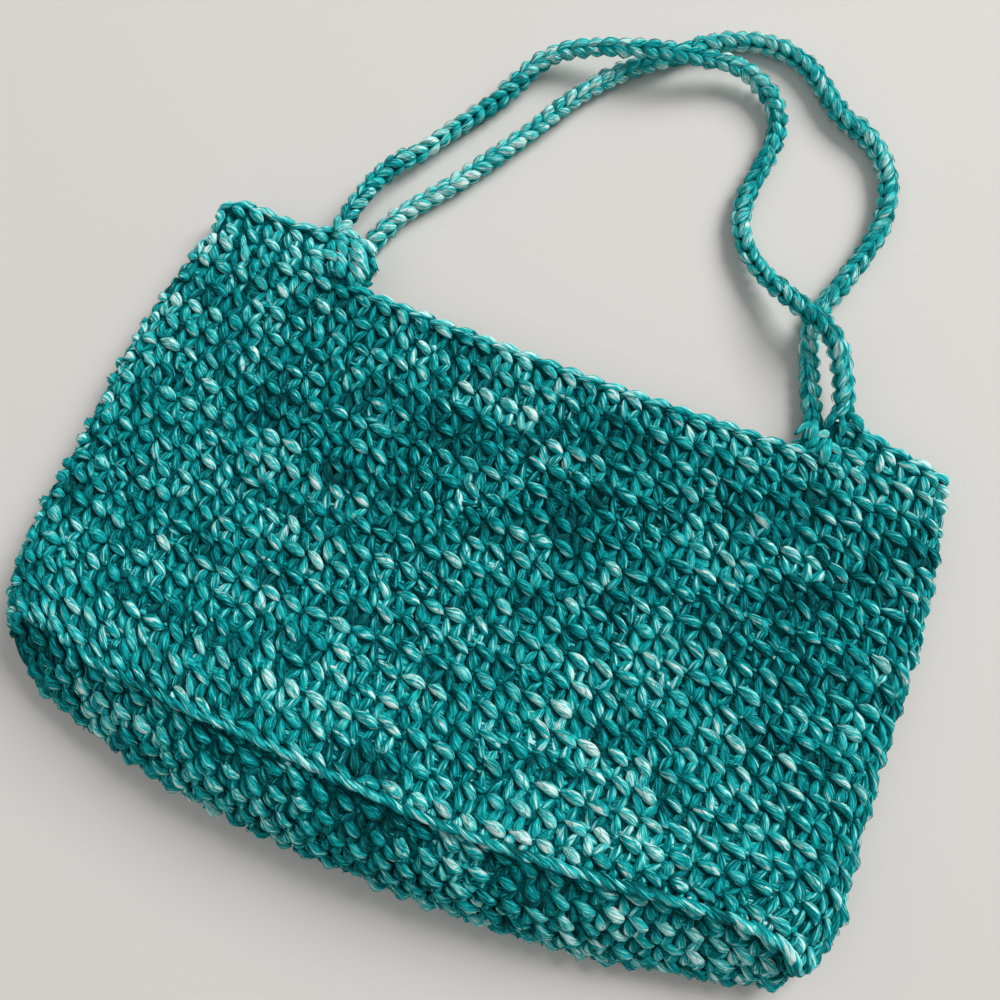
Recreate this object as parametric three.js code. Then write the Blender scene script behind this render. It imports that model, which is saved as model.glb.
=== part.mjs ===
// A crocheted handbag that lies on its back, as one hollow body, a raised chain along the
// front edge of its base, two side bands round the ends of its mouth, and two corded straps.
// Millimetres, +Z up, X across the bag, +Y from the base to the mouth.

import * as THREE from 'three';

// Sizes of the bag as it lies
const width = 246;            // across the widest row, from fold to fold
const panelHeight = 129.2;    // front panel, from the mouth's edge to the front edge of the base
const baseReach = 23.8;       // how far the base runs out past the front panel, seen from above
const ridgeHeight = 26;       // front edge of the base above the surface
const mouthThickness = 12.8;  // both walls and the gap between them, at the mouth
const wall = 3.6;             // crocheted fabric, one layer
const foldReach = 9;          // depth of the round side fold
const toeHeight = 5;          // back edge of the base, which curves up from the surface
const baseBulge = 4.6;        // how far the middle of the base swells
const cornerRise = 19;        // how far the base's back edge curves up towards its ends

const mouthY = 67.9;          // middle of the mouth's edge, from the middle of the bag as it lies

// Straps and the base's chain
const strapDiameter = 6.6;
const ridgeChain = 2.8;       // thickness of the chain along the front edge of the base
const ridgeOverhang = 0.5;    // how far the chain leans out over the base
const ridgeStart = -90;       // its left end, from the middle of the bag
const ridgeWrap = 0.15;       // how far its right end runs on round the fold, as a share of the fold
const gap = 0.3;              // clearance between pieces that touch
const rimChamfer = 0.9;       // rounding of the fabric's cut edges

// How finely the surfaces are divided
const acrossSteps = 18;
const foldSteps = 6;
const baseSteps = 6;
const legSteps = 7;
const strapSteps = 66;
const strapSides = 10;
const wrapSteps = 3;
const chainSteps = 44;
const chainSides = 8;

const halfWidth = width / 2;

// One row for each ring of the tube, from the mouth down to the base.
// down: share of the panel's height. left, right: reach to each fold, as shares of half the width.
// rise: share of the way from the mouth's thickness to the ridge's height, at the middle.
// leftHeight, rightHeight: height at each fold, as shares of the middle's.
// slant: rise of the row at the right fold and its fall at the left one, and frontLeft to
// backRight: how far each layer's ends curve up, and hook: how far the front layer's right end
// hooks down again, all as shares of the corner's rise.
// toe: share of the toe's height.
const rings = [
  { down: 0.00, left: 0.922, right: 0.962, rise: 0.00, leftHeight: 0.92, rightHeight: 0.92,
    slant: -0.18, frontLeft: 0.16, frontRight: 0.26, backLeft: 0.16, backRight: 0.26, hook: 0.00, toe: 0 },
  { down: 0.25, left: 0.978, right: 0.996, rise: 0.02, leftHeight: 0.91, rightHeight: 0.90,
    slant: -0.08, frontLeft: 0.20, frontRight: 0.12, backLeft: 0.18, backRight: 0.12, hook: 0.00, toe: 0 },
  { down: 0.55, left: 0.992, right: 0.992, rise: 0.14, leftHeight: 0.86, rightHeight: 0.84,
    slant: 0.00, frontLeft: 0.30, frontRight: 0.06, backLeft: 0.29, backRight: 0.13, hook: 0.00, toe: 0 },
  { down: 0.75, left: 1.000, right: 0.990, rise: 0.40, leftHeight: 0.79, rightHeight: 0.76,
    slant: 0.00, frontLeft: 0.47, frontRight: 0.16, backLeft: 0.53, backRight: 0.32, hook: 0.10, toe: 0 },
  { down: 0.90, left: 0.978, right: 0.990, rise: 0.78, leftHeight: 0.78, rightHeight: 0.74,
    slant: 0.00, frontLeft: 0.52, frontRight: 0.34, backLeft: 0.80, backRight: 0.55, hook: 0.34, toe: 0.12 },
  { down: 1.00, left: 0.925, right: 0.938, rise: 1.00, leftHeight: 0.80, rightHeight: 0.77,
    slant: 0.00, frontLeft: 0.56, frontRight: 0.50, backLeft: 1.00, backRight: 0.75, hook: 0.56, toe: 1 },
];
const ringStations = [0.015, 0.08, 0.18, 0.30, 0.42, 0.54, 0.65, 0.75, 0.84, 0.91, 0.96, 1.00];
const frontCurve = 1.9;       // exponents of the curves that the rows follow across the bag
const backCurve = 2.6;
const crownCurve = 2.4;
const hookCurve = 10;

// Side bands, the extra rounds that run round each end of the mouth.
// foot: where the band starts, from the middle of the mouth.
// edge: height of its top edge from its foot (along 0) to the fold (along 1), as shares of height.
const leftBand = {
  name: 'side_band_left',
  height: 12,
  foot: -61.5,
  edge: [
    { along: 0.00, height: 0.78 },
    { along: 0.08, height: 0.96 },
    { along: 0.20, height: 1.00 },
    { along: 0.45, height: 0.92 },
    { along: 0.75, height: 0.93 },
    { along: 0.88, height: 0.80 },
    { along: 1.00, height: 0.45 },
  ],
};
const rightBand = {
  name: 'side_band_right',
  height: 11.5,
  foot: 74.5,
  edge: [
    { along: 0.00, height: 0.66 },
    { along: 0.10, height: 0.88 },
    { along: 0.20, height: 1.00 },
    { along: 0.35, height: 0.93 },
    { along: 0.52, height: 0.70 },
    { along: 0.75, height: 0.52 },
    { along: 0.90, height: 0.38 },
    { along: 1.00, height: 0.22 },
  ],
};

// Routes of the straps, from the left foot to the right one, laid as the bag lies.
// The front strap crosses over the back one near its top and again near the right feet.
const frontStrapRoute = [
  [-74.2, 84.3, 10.6], [-72.0, 100.2, 8.6], [-68.4, 112.2, 6.4], [-61.8, 121.6, 4.6],
  [-55.4, 132.2, 3.7], [-48.2, 143.0, 3.5], [-43.4, 151.8, 3.8], [-39.2, 160.6, 4.6],
  [-33.0, 167.4, 6.0], [-25.4, 170.4, 7.8], [-17.2, 172.2, 9.6], [-8.2, 173.6, 10.9],
  [0.8, 175.6, 10.9], [9.4, 177.8, 9.6], [17.4, 180.0, 7.8], [24.4, 180.4, 6.2],
  [31.2, 177.8, 4.8], [36.4, 173.2, 3.9], [39.6, 166.4, 3.5], [39.8, 157.2, 3.5],
  [38.2, 148.0, 3.5], [37.2, 138.8, 3.5], [38.8, 130.8, 3.5], [43.0, 123.6, 3.9],
  [49.2, 117.6, 5.2], [57.0, 112.4, 7.6], [63.4, 108.4, 9.8], [68.8, 105.8, 10.8],
  [73.6, 102.4, 10.9], [77.4, 98.0, 10.4], [80.0, 92.4, 10.0], [82.2, 86.6, 9.8],
  [83.4, 80.3, 9.8],
];
const backStrapRoute = [
  [-66.8, 82.5, 3.5], [-60.8, 98.6, 3.5], [-54.6, 107.0, 3.5], [-47.6, 116.0, 3.5],
  [-42.0, 124.6, 3.5], [-37.0, 132.6, 3.5], [-31.6, 141.4, 3.5], [-26.8, 150.2, 3.5],
  [-21.2, 159.2, 3.5], [-15.0, 166.4, 3.5], [-8.8, 172.4, 3.5], [0.6, 179.4, 3.5],
  [8.2, 186.4, 3.5], [16.2, 190.6, 3.5], [24.0, 193.0, 3.5], [31.8, 193.4, 3.5],
  [39.4, 191.4, 3.5], [45.8, 187.2, 3.5], [51.6, 181.8, 3.5], [57.2, 176.6, 3.5],
  [63.2, 174.0, 3.5], [68.5, 170.7, 3.5], [72.8, 166.3, 3.5], [76.0, 160.6, 3.5],
  [77.9, 153.4, 3.5], [78.2, 144.8, 3.5], [77.0, 136.8, 3.5], [75.0, 129.0, 3.5],
  [72.8, 122.0, 3.5], [70.2, 115.4, 3.5], [68.6, 109.0, 3.5], [68.8, 103.2, 3.5],
  [70.4, 97.4, 3.5], [72.4, 91.2, 3.5], [75.0, 84.8, 3.5], [77.8, 77.5, 3.5],
];

// Yarn, as it looks on each piece
function yarn(color) {
  return new THREE.MeshStandardMaterial({ color, roughness: 0.9, metalness: 0 });
}
const bodyYarn = yarn(0x149391);
const bandYarn = yarn(0x35aaa4);
const chainYarn = yarn(0x2ba39f);
const strapYarn = yarn(0x4cbdb3);

// A column of a table of rows, read at any place between its rows
function columnOf(rows, key) {
  const places = rows.map((row) => row[key]);
  return (name) => {
    const curve = new THREE.CubicInterpolant(places, rows.map((row) => row[name]), 1);
    return (place) => {
      const inside = THREE.MathUtils.clamp(place, places[0], places[places.length - 1]);
      return curve.evaluate(inside)[0];
    };
  };
}
const ringColumn = columnOf(rings, 'down');
const column = Object.fromEntries(
  Object.keys(rings[0]).filter((name) => name !== 'down').map((name) => [name, ringColumn(name)]),
);

// The tube's ring at a share of the panel's height, moved into the fabric by inset.
// x runs from the left fold to the right one, and side is 1 on the front layer, 0 on the back.
function ringAt(down, inset) {
  const middleHeight = mouthThickness + (ridgeHeight - mouthThickness) * column.rise(down);
  const low = toeHeight * Math.max(column.toe(down), 0);
  const slant = cornerRise * column.slant(down);
  const ends = {
    left: {
      reach: halfWidth * column.left(down), height: middleHeight * column.leftHeight(down),
      front: cornerRise * column.frontLeft(down), back: cornerRise * column.backLeft(down),
      hook: 0,
    },
    right: {
      reach: halfWidth * column.right(down), height: middleHeight * column.rightHeight(down),
      front: cornerRise * column.frontRight(down), back: cornerRise * column.backRight(down),
      hook: cornerRise * Math.max(column.hook(down), 0),
    },
  };
  const frontY = mouthY - panelHeight * down;
  const backY = mouthY - (panelHeight + baseReach) * down;
  const endOf = (x) => (x < 0 ? ends.left : ends.right);
  const shareOf = (x) => Math.abs(x) / endOf(x).reach;

  function place(x, side) {
    const end = endOf(x);
    const slanted = (slant * x) / halfWidth;
    const share = shareOf(x);
    const front = frontY + slanted + end.front * share ** frontCurve - end.hook * share ** hookCurve;
    const back = backY + slanted + end.back * share ** backCurve;
    return THREE.MathUtils.lerp(back, front, side);
  }
  function heightOf(x) {
    const end = endOf(x);
    const share = Math.min(Math.abs(x) / (end.reach - foldReach), 1);
    return THREE.MathUtils.lerp(middleHeight, end.height, share ** crownCurve);
  }
  // A point of the flat stretch: side 1 lies on the front layer, side 0 on the back
  function flat(x, side) {
    const height = heightOf(x);
    const z = side > 0.5 ? height - inset : low + inset;
    return new THREE.Vector3(x, place(x, side), z);
  }
  // A point of a fold: turn goes from 0 at the front layer to 1 at the back
  function fold(direction, turn) {
    const end = direction < 0 ? ends.left : ends.right;
    const angle = Math.PI * (0.5 - turn);
    const middle = (end.height + low) / 2;
    const depth = foldReach - inset;
    const halfHeight = (end.height - low) / 2 - inset;
    const x = direction * (end.reach - foldReach + depth * Math.cos(angle));
    const side = (1 + Math.sin(angle)) / 2;
    return new THREE.Vector3(x, place(x, side), middle + halfHeight * Math.sin(angle));
  }
  return { flat, fold, left: foldReach - ends.left.reach, right: ends.right.reach - foldReach };
}

// A whole ring as a closed loop: front layer, right fold, back layer, left fold
function loopAt(down, inset) {
  const ring = ringAt(down, inset);
  const points = [];
  for (let step = 0; step <= acrossSteps; step += 1) {
    points.push(ring.flat(THREE.MathUtils.lerp(ring.left, ring.right, step / acrossSteps), 1));
  }
  for (let step = 1; step < foldSteps; step += 1) points.push(ring.fold(1, step / foldSteps));
  for (let step = acrossSteps; step >= 0; step -= 1) {
    points.push(ring.flat(THREE.MathUtils.lerp(ring.left, ring.right, step / acrossSteps), 0));
  }
  for (let step = foldSteps - 1; step > 0; step -= 1) points.push(ring.fold(-1, step / foldSteps));
  return points;
}

// A mesh that is built up from loops of points and the faces between them
class Surface {
  constructor() {
    this.positions = [];
    this.indices = [];
  }

  add(point) {
    this.positions.push(point.x, point.y, point.z);
    return this.positions.length / 3 - 1;
  }

  quad(a, b, c, d) {
    for (const corners of [[a, b, c], [a, c, d]]) {
      if (new Set(corners).size === 3) this.indices.push(...corners);
    }
  }

  // Faces between two rows of points that have as many points each
  between(first, second, closed) {
    const count = closed ? first.length : first.length - 1;
    for (let step = 0; step < count; step += 1) {
      const next = (step + 1) % first.length;
      this.quad(first[step], first[next], second[next], second[step]);
    }
  }

  geometry() {
    const geometry = new THREE.BufferGeometry();
    geometry.setAttribute('position', new THREE.Float32BufferAttribute(this.positions, 3));
    geometry.setIndex(this.indices);
    geometry.computeVertexNormals();
    return geometry;
  }
}

// Closes a ring with the base: a swelling strip from the front layer's edge to the back's
function closeBase(surface, loop, points, inwards) {
  const total = loop.length;
  const rightMiddle = acrossSteps + foldSteps / 2;
  const leftMiddle = total - foldSteps / 2;
  const across = total / 2;
  const columns = [];
  for (let step = 0; step <= across; step += 1) {
    const upper = (leftMiddle + step) % total;
    const lower = (leftMiddle - step + total) % total;
    const line = [loop[upper]];
    for (let part = 1; part < baseSteps; part += 1) {
      if (upper === lower) {
        line.push(loop[upper]);
      } else {
        const share = part / baseSteps;
        const point = points[upper].clone().lerp(points[lower], share);
        const swell = baseBulge * Math.sin(Math.PI * share) * Math.sin((Math.PI * step) / across);
        point.y -= swell * Math.SQRT1_2;
        point.z += swell * Math.SQRT1_2;
        line.push(surface.add(point));
      }
    }
    line.push(loop[lower]);
    columns.push(line);
  }
  if (columns[across][0] !== loop[rightMiddle]) throw new Error('the base does not meet the fold');
  for (let step = 0; step < across; step += 1) {
    if (inwards) surface.between(columns[step + 1], columns[step], false);
    else surface.between(columns[step], columns[step + 1], false);
  }
}

// The body: outer wall from the base up to the mouth, its rim, and the inner wall down again
function bagBody() {
  const surface = new Surface();
  const slope = Math.hypot(baseReach, ridgeHeight - toeHeight) / (ridgeHeight - toeHeight);
  const floorDown = 1 - (wall * slope) / panelHeight;
  const outer = [...ringStations].reverse().map((down) => loopAt(down, 0));
  const inner = ringStations.map((down) => loopAt(down * floorDown, wall));
  const rim = [loopAt(0, rimChamfer), loopAt(0, wall - rimChamfer)];
  const loops = [...outer, ...rim, ...inner];
  const rows = loops.map((loop) => loop.map((point) => surface.add(point)));
  for (let step = 0; step < rows.length - 1; step += 1) {
    surface.between(rows[step], rows[step + 1], true);
  }
  closeBase(surface, rows[0], loops[0], false);
  closeBase(surface, rows[rows.length - 1], loops[loops.length - 1], true);
  return surface.geometry();
}

// A side band: a strip of fabric that follows the mouth's rim from the front foot, round the
// fold, to the back foot
function sideBand({ height, foot, edge: edgeRows }) {
  const surface = new Surface();
  const direction = Math.sign(foot);
  const edge = columnOf(edgeRows, 'along')('height');
  const insets = [rimChamfer, 0, 0, rimChamfer, wall - rimChamfer, wall, wall, wall - rimChamfer];
  const ups = [0, rimChamfer, -rimChamfer, 0, 0, -rimChamfer, rimChamfer, 0];
  const ringsOf = insets.map((inset) => ringAt(0, inset));

  function sectionAt(ring, part) {
    const end = direction < 0 ? ring.left : ring.right;
    if (part <= legSteps) return ring.flat(THREE.MathUtils.lerp(foot, end, part / legSteps), 1);
    const turned = part - legSteps;
    if (turned < foldSteps) return ring.fold(direction, turned / foldSteps);
    const back = turned - foldSteps;
    return ring.flat(THREE.MathUtils.lerp(end, foot, back / legSteps), 0);
  }

  const count = 2 * legSteps + foldSteps;
  const rows = [];
  for (let part = 0; part <= count; part += 1) {
    const fromFoot = Math.min(part, count - part) / (count / 2);
    const top = height * edge(fromFoot);
    const row = insets.map((inset, corner) => {
      const point = sectionAt(ringsOf[corner], part);
      const isTop = corner >= 2 && corner <= 5;
      point.y += gap + (isTop ? top : 0) + ups[corner];
      return surface.add(point);
    });
    rows.push(row);
  }
  const ordered = direction < 0 ? rows : [...rows].reverse();
  for (let step = 0; step < count; step += 1) surface.between(ordered[step], ordered[step + 1], true);
  const closeEnd = (row) => {
    const [a, b, c, d, e, f, g, h] = row;
    surface.quad(a, b, g, h);
    surface.quad(b, c, f, g);
    surface.quad(c, d, e, f);
  };
  closeEnd([...ordered[0]].reverse());
  closeEnd(ordered[count]);
  return surface.geometry();
}

// A round cord along a smooth curve
function cord(points, diameter, steps, sides) {
  const section = new THREE.Shape();
  for (let side = 0; side < sides; side += 1) {
    const angle = (2 * Math.PI * side) / sides;
    const x = (diameter / 2) * Math.cos(angle);
    const y = (diameter / 2) * Math.sin(angle);
    if (side === 0) section.moveTo(x, y);
    else section.lineTo(x, y);
  }
  section.closePath();
  const path = new THREE.CatmullRomCurve3(points.map((point) => new THREE.Vector3(...point)));
  return new THREE.ExtrudeGeometry(section, { steps, bevelEnabled: false, extrudePath: path });
}

// The chain along the front edge of the base, laid on the corner between panel and base, and at
// its right end a little way round the fold
function baseRidge() {
  const ring = ringAt(1, 0);
  const stand = ridgeChain / 2 + gap;
  const raised = (point, angle) => [
    point.x + stand * Math.sin(angle), point.y - ridgeOverhang, point.z + stand * Math.cos(angle),
  ];
  const points = [];
  for (let step = 0; step <= acrossSteps; step += 1) {
    const x = THREE.MathUtils.lerp(ridgeStart, ring.right, step / acrossSteps);
    points.push(raised(ring.flat(x, 1), 0));
  }
  for (let step = 1; step <= wrapSteps; step += 1) {
    const turn = (ridgeWrap * step) / wrapSteps;
    points.push(raised(ring.fold(1, turn), Math.PI * turn));
  }
  return cord(points, ridgeChain, chainSteps, chainSides);
}

function piece(name, geometry, material) {
  const mesh = new THREE.Mesh(geometry, material);
  mesh.name = name;
  return mesh;
}

const bag = new THREE.Group();
bag.add(piece('bag_body', bagBody(), bodyYarn));
bag.add(piece('base_ridge', baseRidge(), chainYarn));
bag.add(piece(leftBand.name, sideBand(leftBand), bandYarn));
bag.add(piece(rightBand.name, sideBand(rightBand), bandYarn));
bag.add(piece('strap_front', cord(frontStrapRoute, strapDiameter, strapSteps, strapSides), strapYarn));
bag.add(piece('strap_back', cord(backStrapRoute, strapDiameter, strapSteps, strapSides), strapYarn));

// The origin is the middle of the underside of the bag without its straps
const resting = new THREE.Box3();
for (const child of bag.children) {
  if (!child.name.startsWith('strap_')) resting.expandByObject(child);
}
const middle = resting.getCenter(new THREE.Vector3());
bag.position.set(-middle.x, -middle.y, -resting.min.z);

export default bag;
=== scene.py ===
"""A small crocheted handbag that lies on its back, dressed stitch by stitch.

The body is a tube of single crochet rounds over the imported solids: every stitch is a slanting bar
of yarn over the two legs of a V. Chains of loops edge the mouth, the side bands and both long edges
of the base, and two crocheted cords are its straps. All lengths are metres, in the bag's own frame:
+X along the mouth, +Y from the base to the mouth, +Z up from the surface that the bag lies on.
"""

import logging
import math
from collections.abc import Callable
from dataclasses import dataclass, field, replace
from enum import Enum
from functools import partial

import bpy
import numpy as np
from mathutils import Matrix, Vector


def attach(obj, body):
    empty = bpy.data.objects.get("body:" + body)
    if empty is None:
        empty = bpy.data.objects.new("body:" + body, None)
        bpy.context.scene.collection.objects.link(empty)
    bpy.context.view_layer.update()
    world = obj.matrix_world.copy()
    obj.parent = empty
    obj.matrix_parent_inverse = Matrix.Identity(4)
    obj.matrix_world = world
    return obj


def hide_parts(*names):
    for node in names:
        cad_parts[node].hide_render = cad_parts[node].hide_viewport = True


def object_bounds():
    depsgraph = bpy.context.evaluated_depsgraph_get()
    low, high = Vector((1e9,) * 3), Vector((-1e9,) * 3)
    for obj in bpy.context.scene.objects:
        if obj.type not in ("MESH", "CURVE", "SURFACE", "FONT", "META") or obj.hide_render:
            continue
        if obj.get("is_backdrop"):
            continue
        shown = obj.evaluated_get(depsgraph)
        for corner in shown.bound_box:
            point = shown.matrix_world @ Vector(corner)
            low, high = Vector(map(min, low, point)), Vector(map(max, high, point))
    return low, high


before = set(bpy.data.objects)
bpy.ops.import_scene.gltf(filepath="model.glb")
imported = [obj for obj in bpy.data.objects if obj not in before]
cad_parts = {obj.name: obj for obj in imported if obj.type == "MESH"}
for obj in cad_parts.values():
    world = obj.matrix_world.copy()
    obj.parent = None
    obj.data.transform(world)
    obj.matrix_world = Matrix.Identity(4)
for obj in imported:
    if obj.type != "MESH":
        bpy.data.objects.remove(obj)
CAD_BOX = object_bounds()

log = logging.getLogger("handbag")
MM = 0.001
BODY = "root"


# Shape of the bag

@dataclass(frozen=True)
class RingRow:
    """One ring of the bag's tube, as shares of the named sizes; down is 0 at the mouth, 1 at the base."""

    down: float
    left: float
    right: float
    rise: float
    left_height: float
    right_height: float
    slant: float
    front_left: float
    front_right: float
    back_left: float
    back_right: float
    hook: float
    toe: float


RINGS = (
    RingRow(0.00, 0.922, 0.962, 0.00, 0.92, 0.92, -0.18, 0.16, 0.26, 0.16, 0.26, 0.00, 0.00),
    RingRow(0.25, 0.978, 0.996, 0.02, 0.91, 0.90, -0.08, 0.20, 0.12, 0.18, 0.12, 0.00, 0.00),
    RingRow(0.55, 0.992, 0.992, 0.14, 0.86, 0.84, 0.00, 0.30, 0.06, 0.29, 0.13, 0.00, 0.00),
    RingRow(0.75, 1.000, 0.990, 0.40, 0.79, 0.76, 0.00, 0.47, 0.16, 0.53, 0.32, 0.10, 0.00),
    RingRow(0.90, 0.978, 0.990, 0.78, 0.78, 0.74, 0.00, 0.52, 0.34, 0.80, 0.55, 0.34, 0.12),
    RingRow(1.00, 0.925, 0.938, 1.00, 0.80, 0.77, 0.00, 0.56, 0.50, 1.00, 0.75, 0.56, 1.00),
)


def cubic_column(places: np.ndarray, values: np.ndarray, at: np.ndarray) -> np.ndarray:
    """Reads a column of a table between its rows, on a smooth curve through them.

    Args:
        places: where the rows stand, in rising order.
        values: the column's value in each row.
        at: the places to read.

    Returns:
        The column's values there; before the first row and past the last one they stay.
    """
    at = np.clip(at, places[0], places[-1])
    last = len(places) - 1
    upper = np.clip(np.searchsorted(places, at, side="right"), 1, last)
    lower = upper - 1
    before = np.where(lower > 0, lower - 1, upper)
    after = np.where(upper < last, upper + 1, lower)
    span = places[upper] - places[lower]
    pull_before = 0.5 * span / (places[lower] - places[before])
    pull_after = 0.5 * span / (places[after] - places[upper])
    part = (at - places[lower]) / span
    square, cube = part ** 2, part ** 3
    weight_before = pull_before * (2 * square - cube - part)
    weight_lower = (1 + pull_before) * cube - (1.5 + 2 * pull_before) * square
    weight_lower += (pull_before - 0.5) * part + 1
    weight_upper = (1.5 + pull_after) * square - (1 + pull_after) * cube + 0.5 * part
    weight_after = pull_after * (cube - square)
    return (weight_before * values[before] + weight_lower * values[lower]
            + weight_upper * values[upper] + weight_after * values[after])


@dataclass(frozen=True)
class BagShape:
    """The bag's form: a flattened tube whose rings widen and rise from the mouth to the base."""

    half_width: float = 123.0 * MM
    panel_height: float = 129.2 * MM
    base_reach: float = 23.8 * MM
    ridge_height: float = 26.0 * MM
    mouth_thickness: float = 12.8 * MM
    wall: float = 3.6 * MM
    fold_reach: float = 9.0 * MM
    toe_height: float = 5.0 * MM
    base_bulge: float = 4.6 * MM
    corner_rise: float = 19.0 * MM
    mouth_y: float = 67.9 * MM
    front_curve: float = 1.9
    back_curve: float = 2.6
    crown_curve: float = 2.4
    hook_curve: float = 10.0
    fold_share: float = 0.1  # of the base's length, which lies on one fold

    def column(self, name: str, down: np.ndarray) -> np.ndarray:
        """One column of the table of rings, read at each share of the panel's height."""
        places = np.array([row.down for row in RINGS])
        return cubic_column(places, np.array([getattr(row, name) for row in RINGS]), down)

    def edges(self, down: np.ndarray) -> tuple[np.ndarray, np.ndarray]:
        """Where a ring's flat stretch ends at the left and at the right."""
        left = self.fold_reach - self.half_width * self.column("left", down)
        right = self.half_width * self.column("right", down) - self.fold_reach
        return left, right

    def points(self, down: np.ndarray, along: np.ndarray, inset: float = 0.0) -> np.ndarray:
        """Points of the tube's surface.

        Args:
            down: share of the panel's height, 0 at the mouth.
            along: 0 to 1 over the front from left to right, 1 to 2 round the right fold, 2 to 3
                over the back from right to left, 3 to 4 round the left fold.
            inset: how far the points lie inside the outer surface.

        Returns:
            An array like down and along, with x, y and z last.
        """
        down, along = np.broadcast_arrays(np.asarray(down, float), np.asarray(along, float))
        part = np.floor(along).astype(int) % 4
        share_of_part = along - np.floor(along)
        left, right = self.edges(down)
        step = np.where(part == 0, share_of_part, 1 - share_of_part)
        flat_x = left + (right - left) * step
        flat = (part == 0) | (part == 2)
        turn = np.where(part == 1, share_of_part, 1 - share_of_part)
        angle = np.pi * (0.5 - turn)
        direction = np.where(part == 1, 1.0, np.where(part == 3, -1.0, np.sign(flat_x)))
        is_left = direction < 0

        def ends(left_name: str, right_name: str) -> np.ndarray:
            """A column that has its own value for each end."""
            return np.where(is_left, self.column(left_name, down), self.column(right_name, down))

        reach = self.half_width * ends("left", "right")
        middle = self.column("rise", down) * (self.ridge_height - self.mouth_thickness)
        middle = middle + self.mouth_thickness
        end_height = middle * ends("left_height", "right_height")
        low = self.toe_height * np.maximum(self.column("toe", down), 0)
        fold_x = direction * (reach - self.fold_reach + (self.fold_reach - inset) * np.cos(angle))
        x = np.where(flat, flat_x, fold_x)
        side = np.where(part == 0, 1.0, np.where(part == 2, 0.0, (1 + np.sin(angle)) / 2))
        share = np.abs(x) / reach
        slanted = self.corner_rise * self.column("slant", down) * x / self.half_width
        hook = np.where(is_left, 0.0, np.maximum(self.column("hook", down), 0))
        front = ends("front_left", "front_right") * share ** self.front_curve
        front = self.corner_rise * (front - hook * share ** self.hook_curve)
        back = self.corner_rise * ends("back_left", "back_right") * share ** self.back_curve
        front_y = self.mouth_y - self.panel_height * down + slanted + front
        back_y = self.mouth_y - (self.panel_height + self.base_reach) * down + slanted + back
        y = back_y + (front_y - back_y) * side
        crown = np.minimum(np.abs(x) / (reach - self.fold_reach), 1) ** self.crown_curve
        flat_z = np.where(part == 0, middle + (end_height - middle) * crown - inset, low + inset)
        half = (end_height - low) / 2 - inset
        fold_z = (end_height + low) / 2 + half * np.sin(angle)
        return np.stack([x, y, np.where(flat, flat_z, fold_z)], axis=-1)

    def base_points(self, across: np.ndarray, under: np.ndarray, inset: float = 0.0) -> np.ndarray:
        """Points of the base's strip.

        Args:
            across: 0 at the middle of the left fold to 1 at the middle of the right one.
            under: 0 at the front edge, under the ridge, to 1 at the back edge.
            inset: how far the points lie inside the outer surface.

        Returns:
            An array like across and under, with x, y and z last.
        """
        upper, lower = self.base_ends(across)
        one = np.ones_like(across)
        top, bottom = self.points(one, upper, inset), self.points(one, lower, inset)
        point = top + (bottom - top) * under[..., None]
        swell = self.base_bulge * np.sin(np.pi * under) * np.sin(np.pi * across)
        point[..., 1] += inset * (math.sqrt(2) - 1 + 2 * under) - swell * math.sqrt(0.5)
        point[..., 2] += swell * math.sqrt(0.5)
        return point

    def base_ends(self, across: np.ndarray) -> tuple[np.ndarray, np.ndarray]:
        """Where the front and the back edge of the base lie on the tube, as shares along it."""
        fold = 0.5 * self.fold_share
        flat = 1 - 2 * fold
        upper = np.where(across < fold, 3.5 + 0.5 * across / fold, (across - fold) / flat)
        upper = np.where(across > 1 - fold, 1 + 0.5 * (across - 1 + fold) / fold, upper)
        lower = np.where(across < fold, 3.5 - 0.5 * across / fold, 3 - (across - fold) / flat)
        lower = np.where(across > 1 - fold, 2 - 0.5 * (across - 1 + fold) / fold, lower)
        return upper, lower


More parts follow.
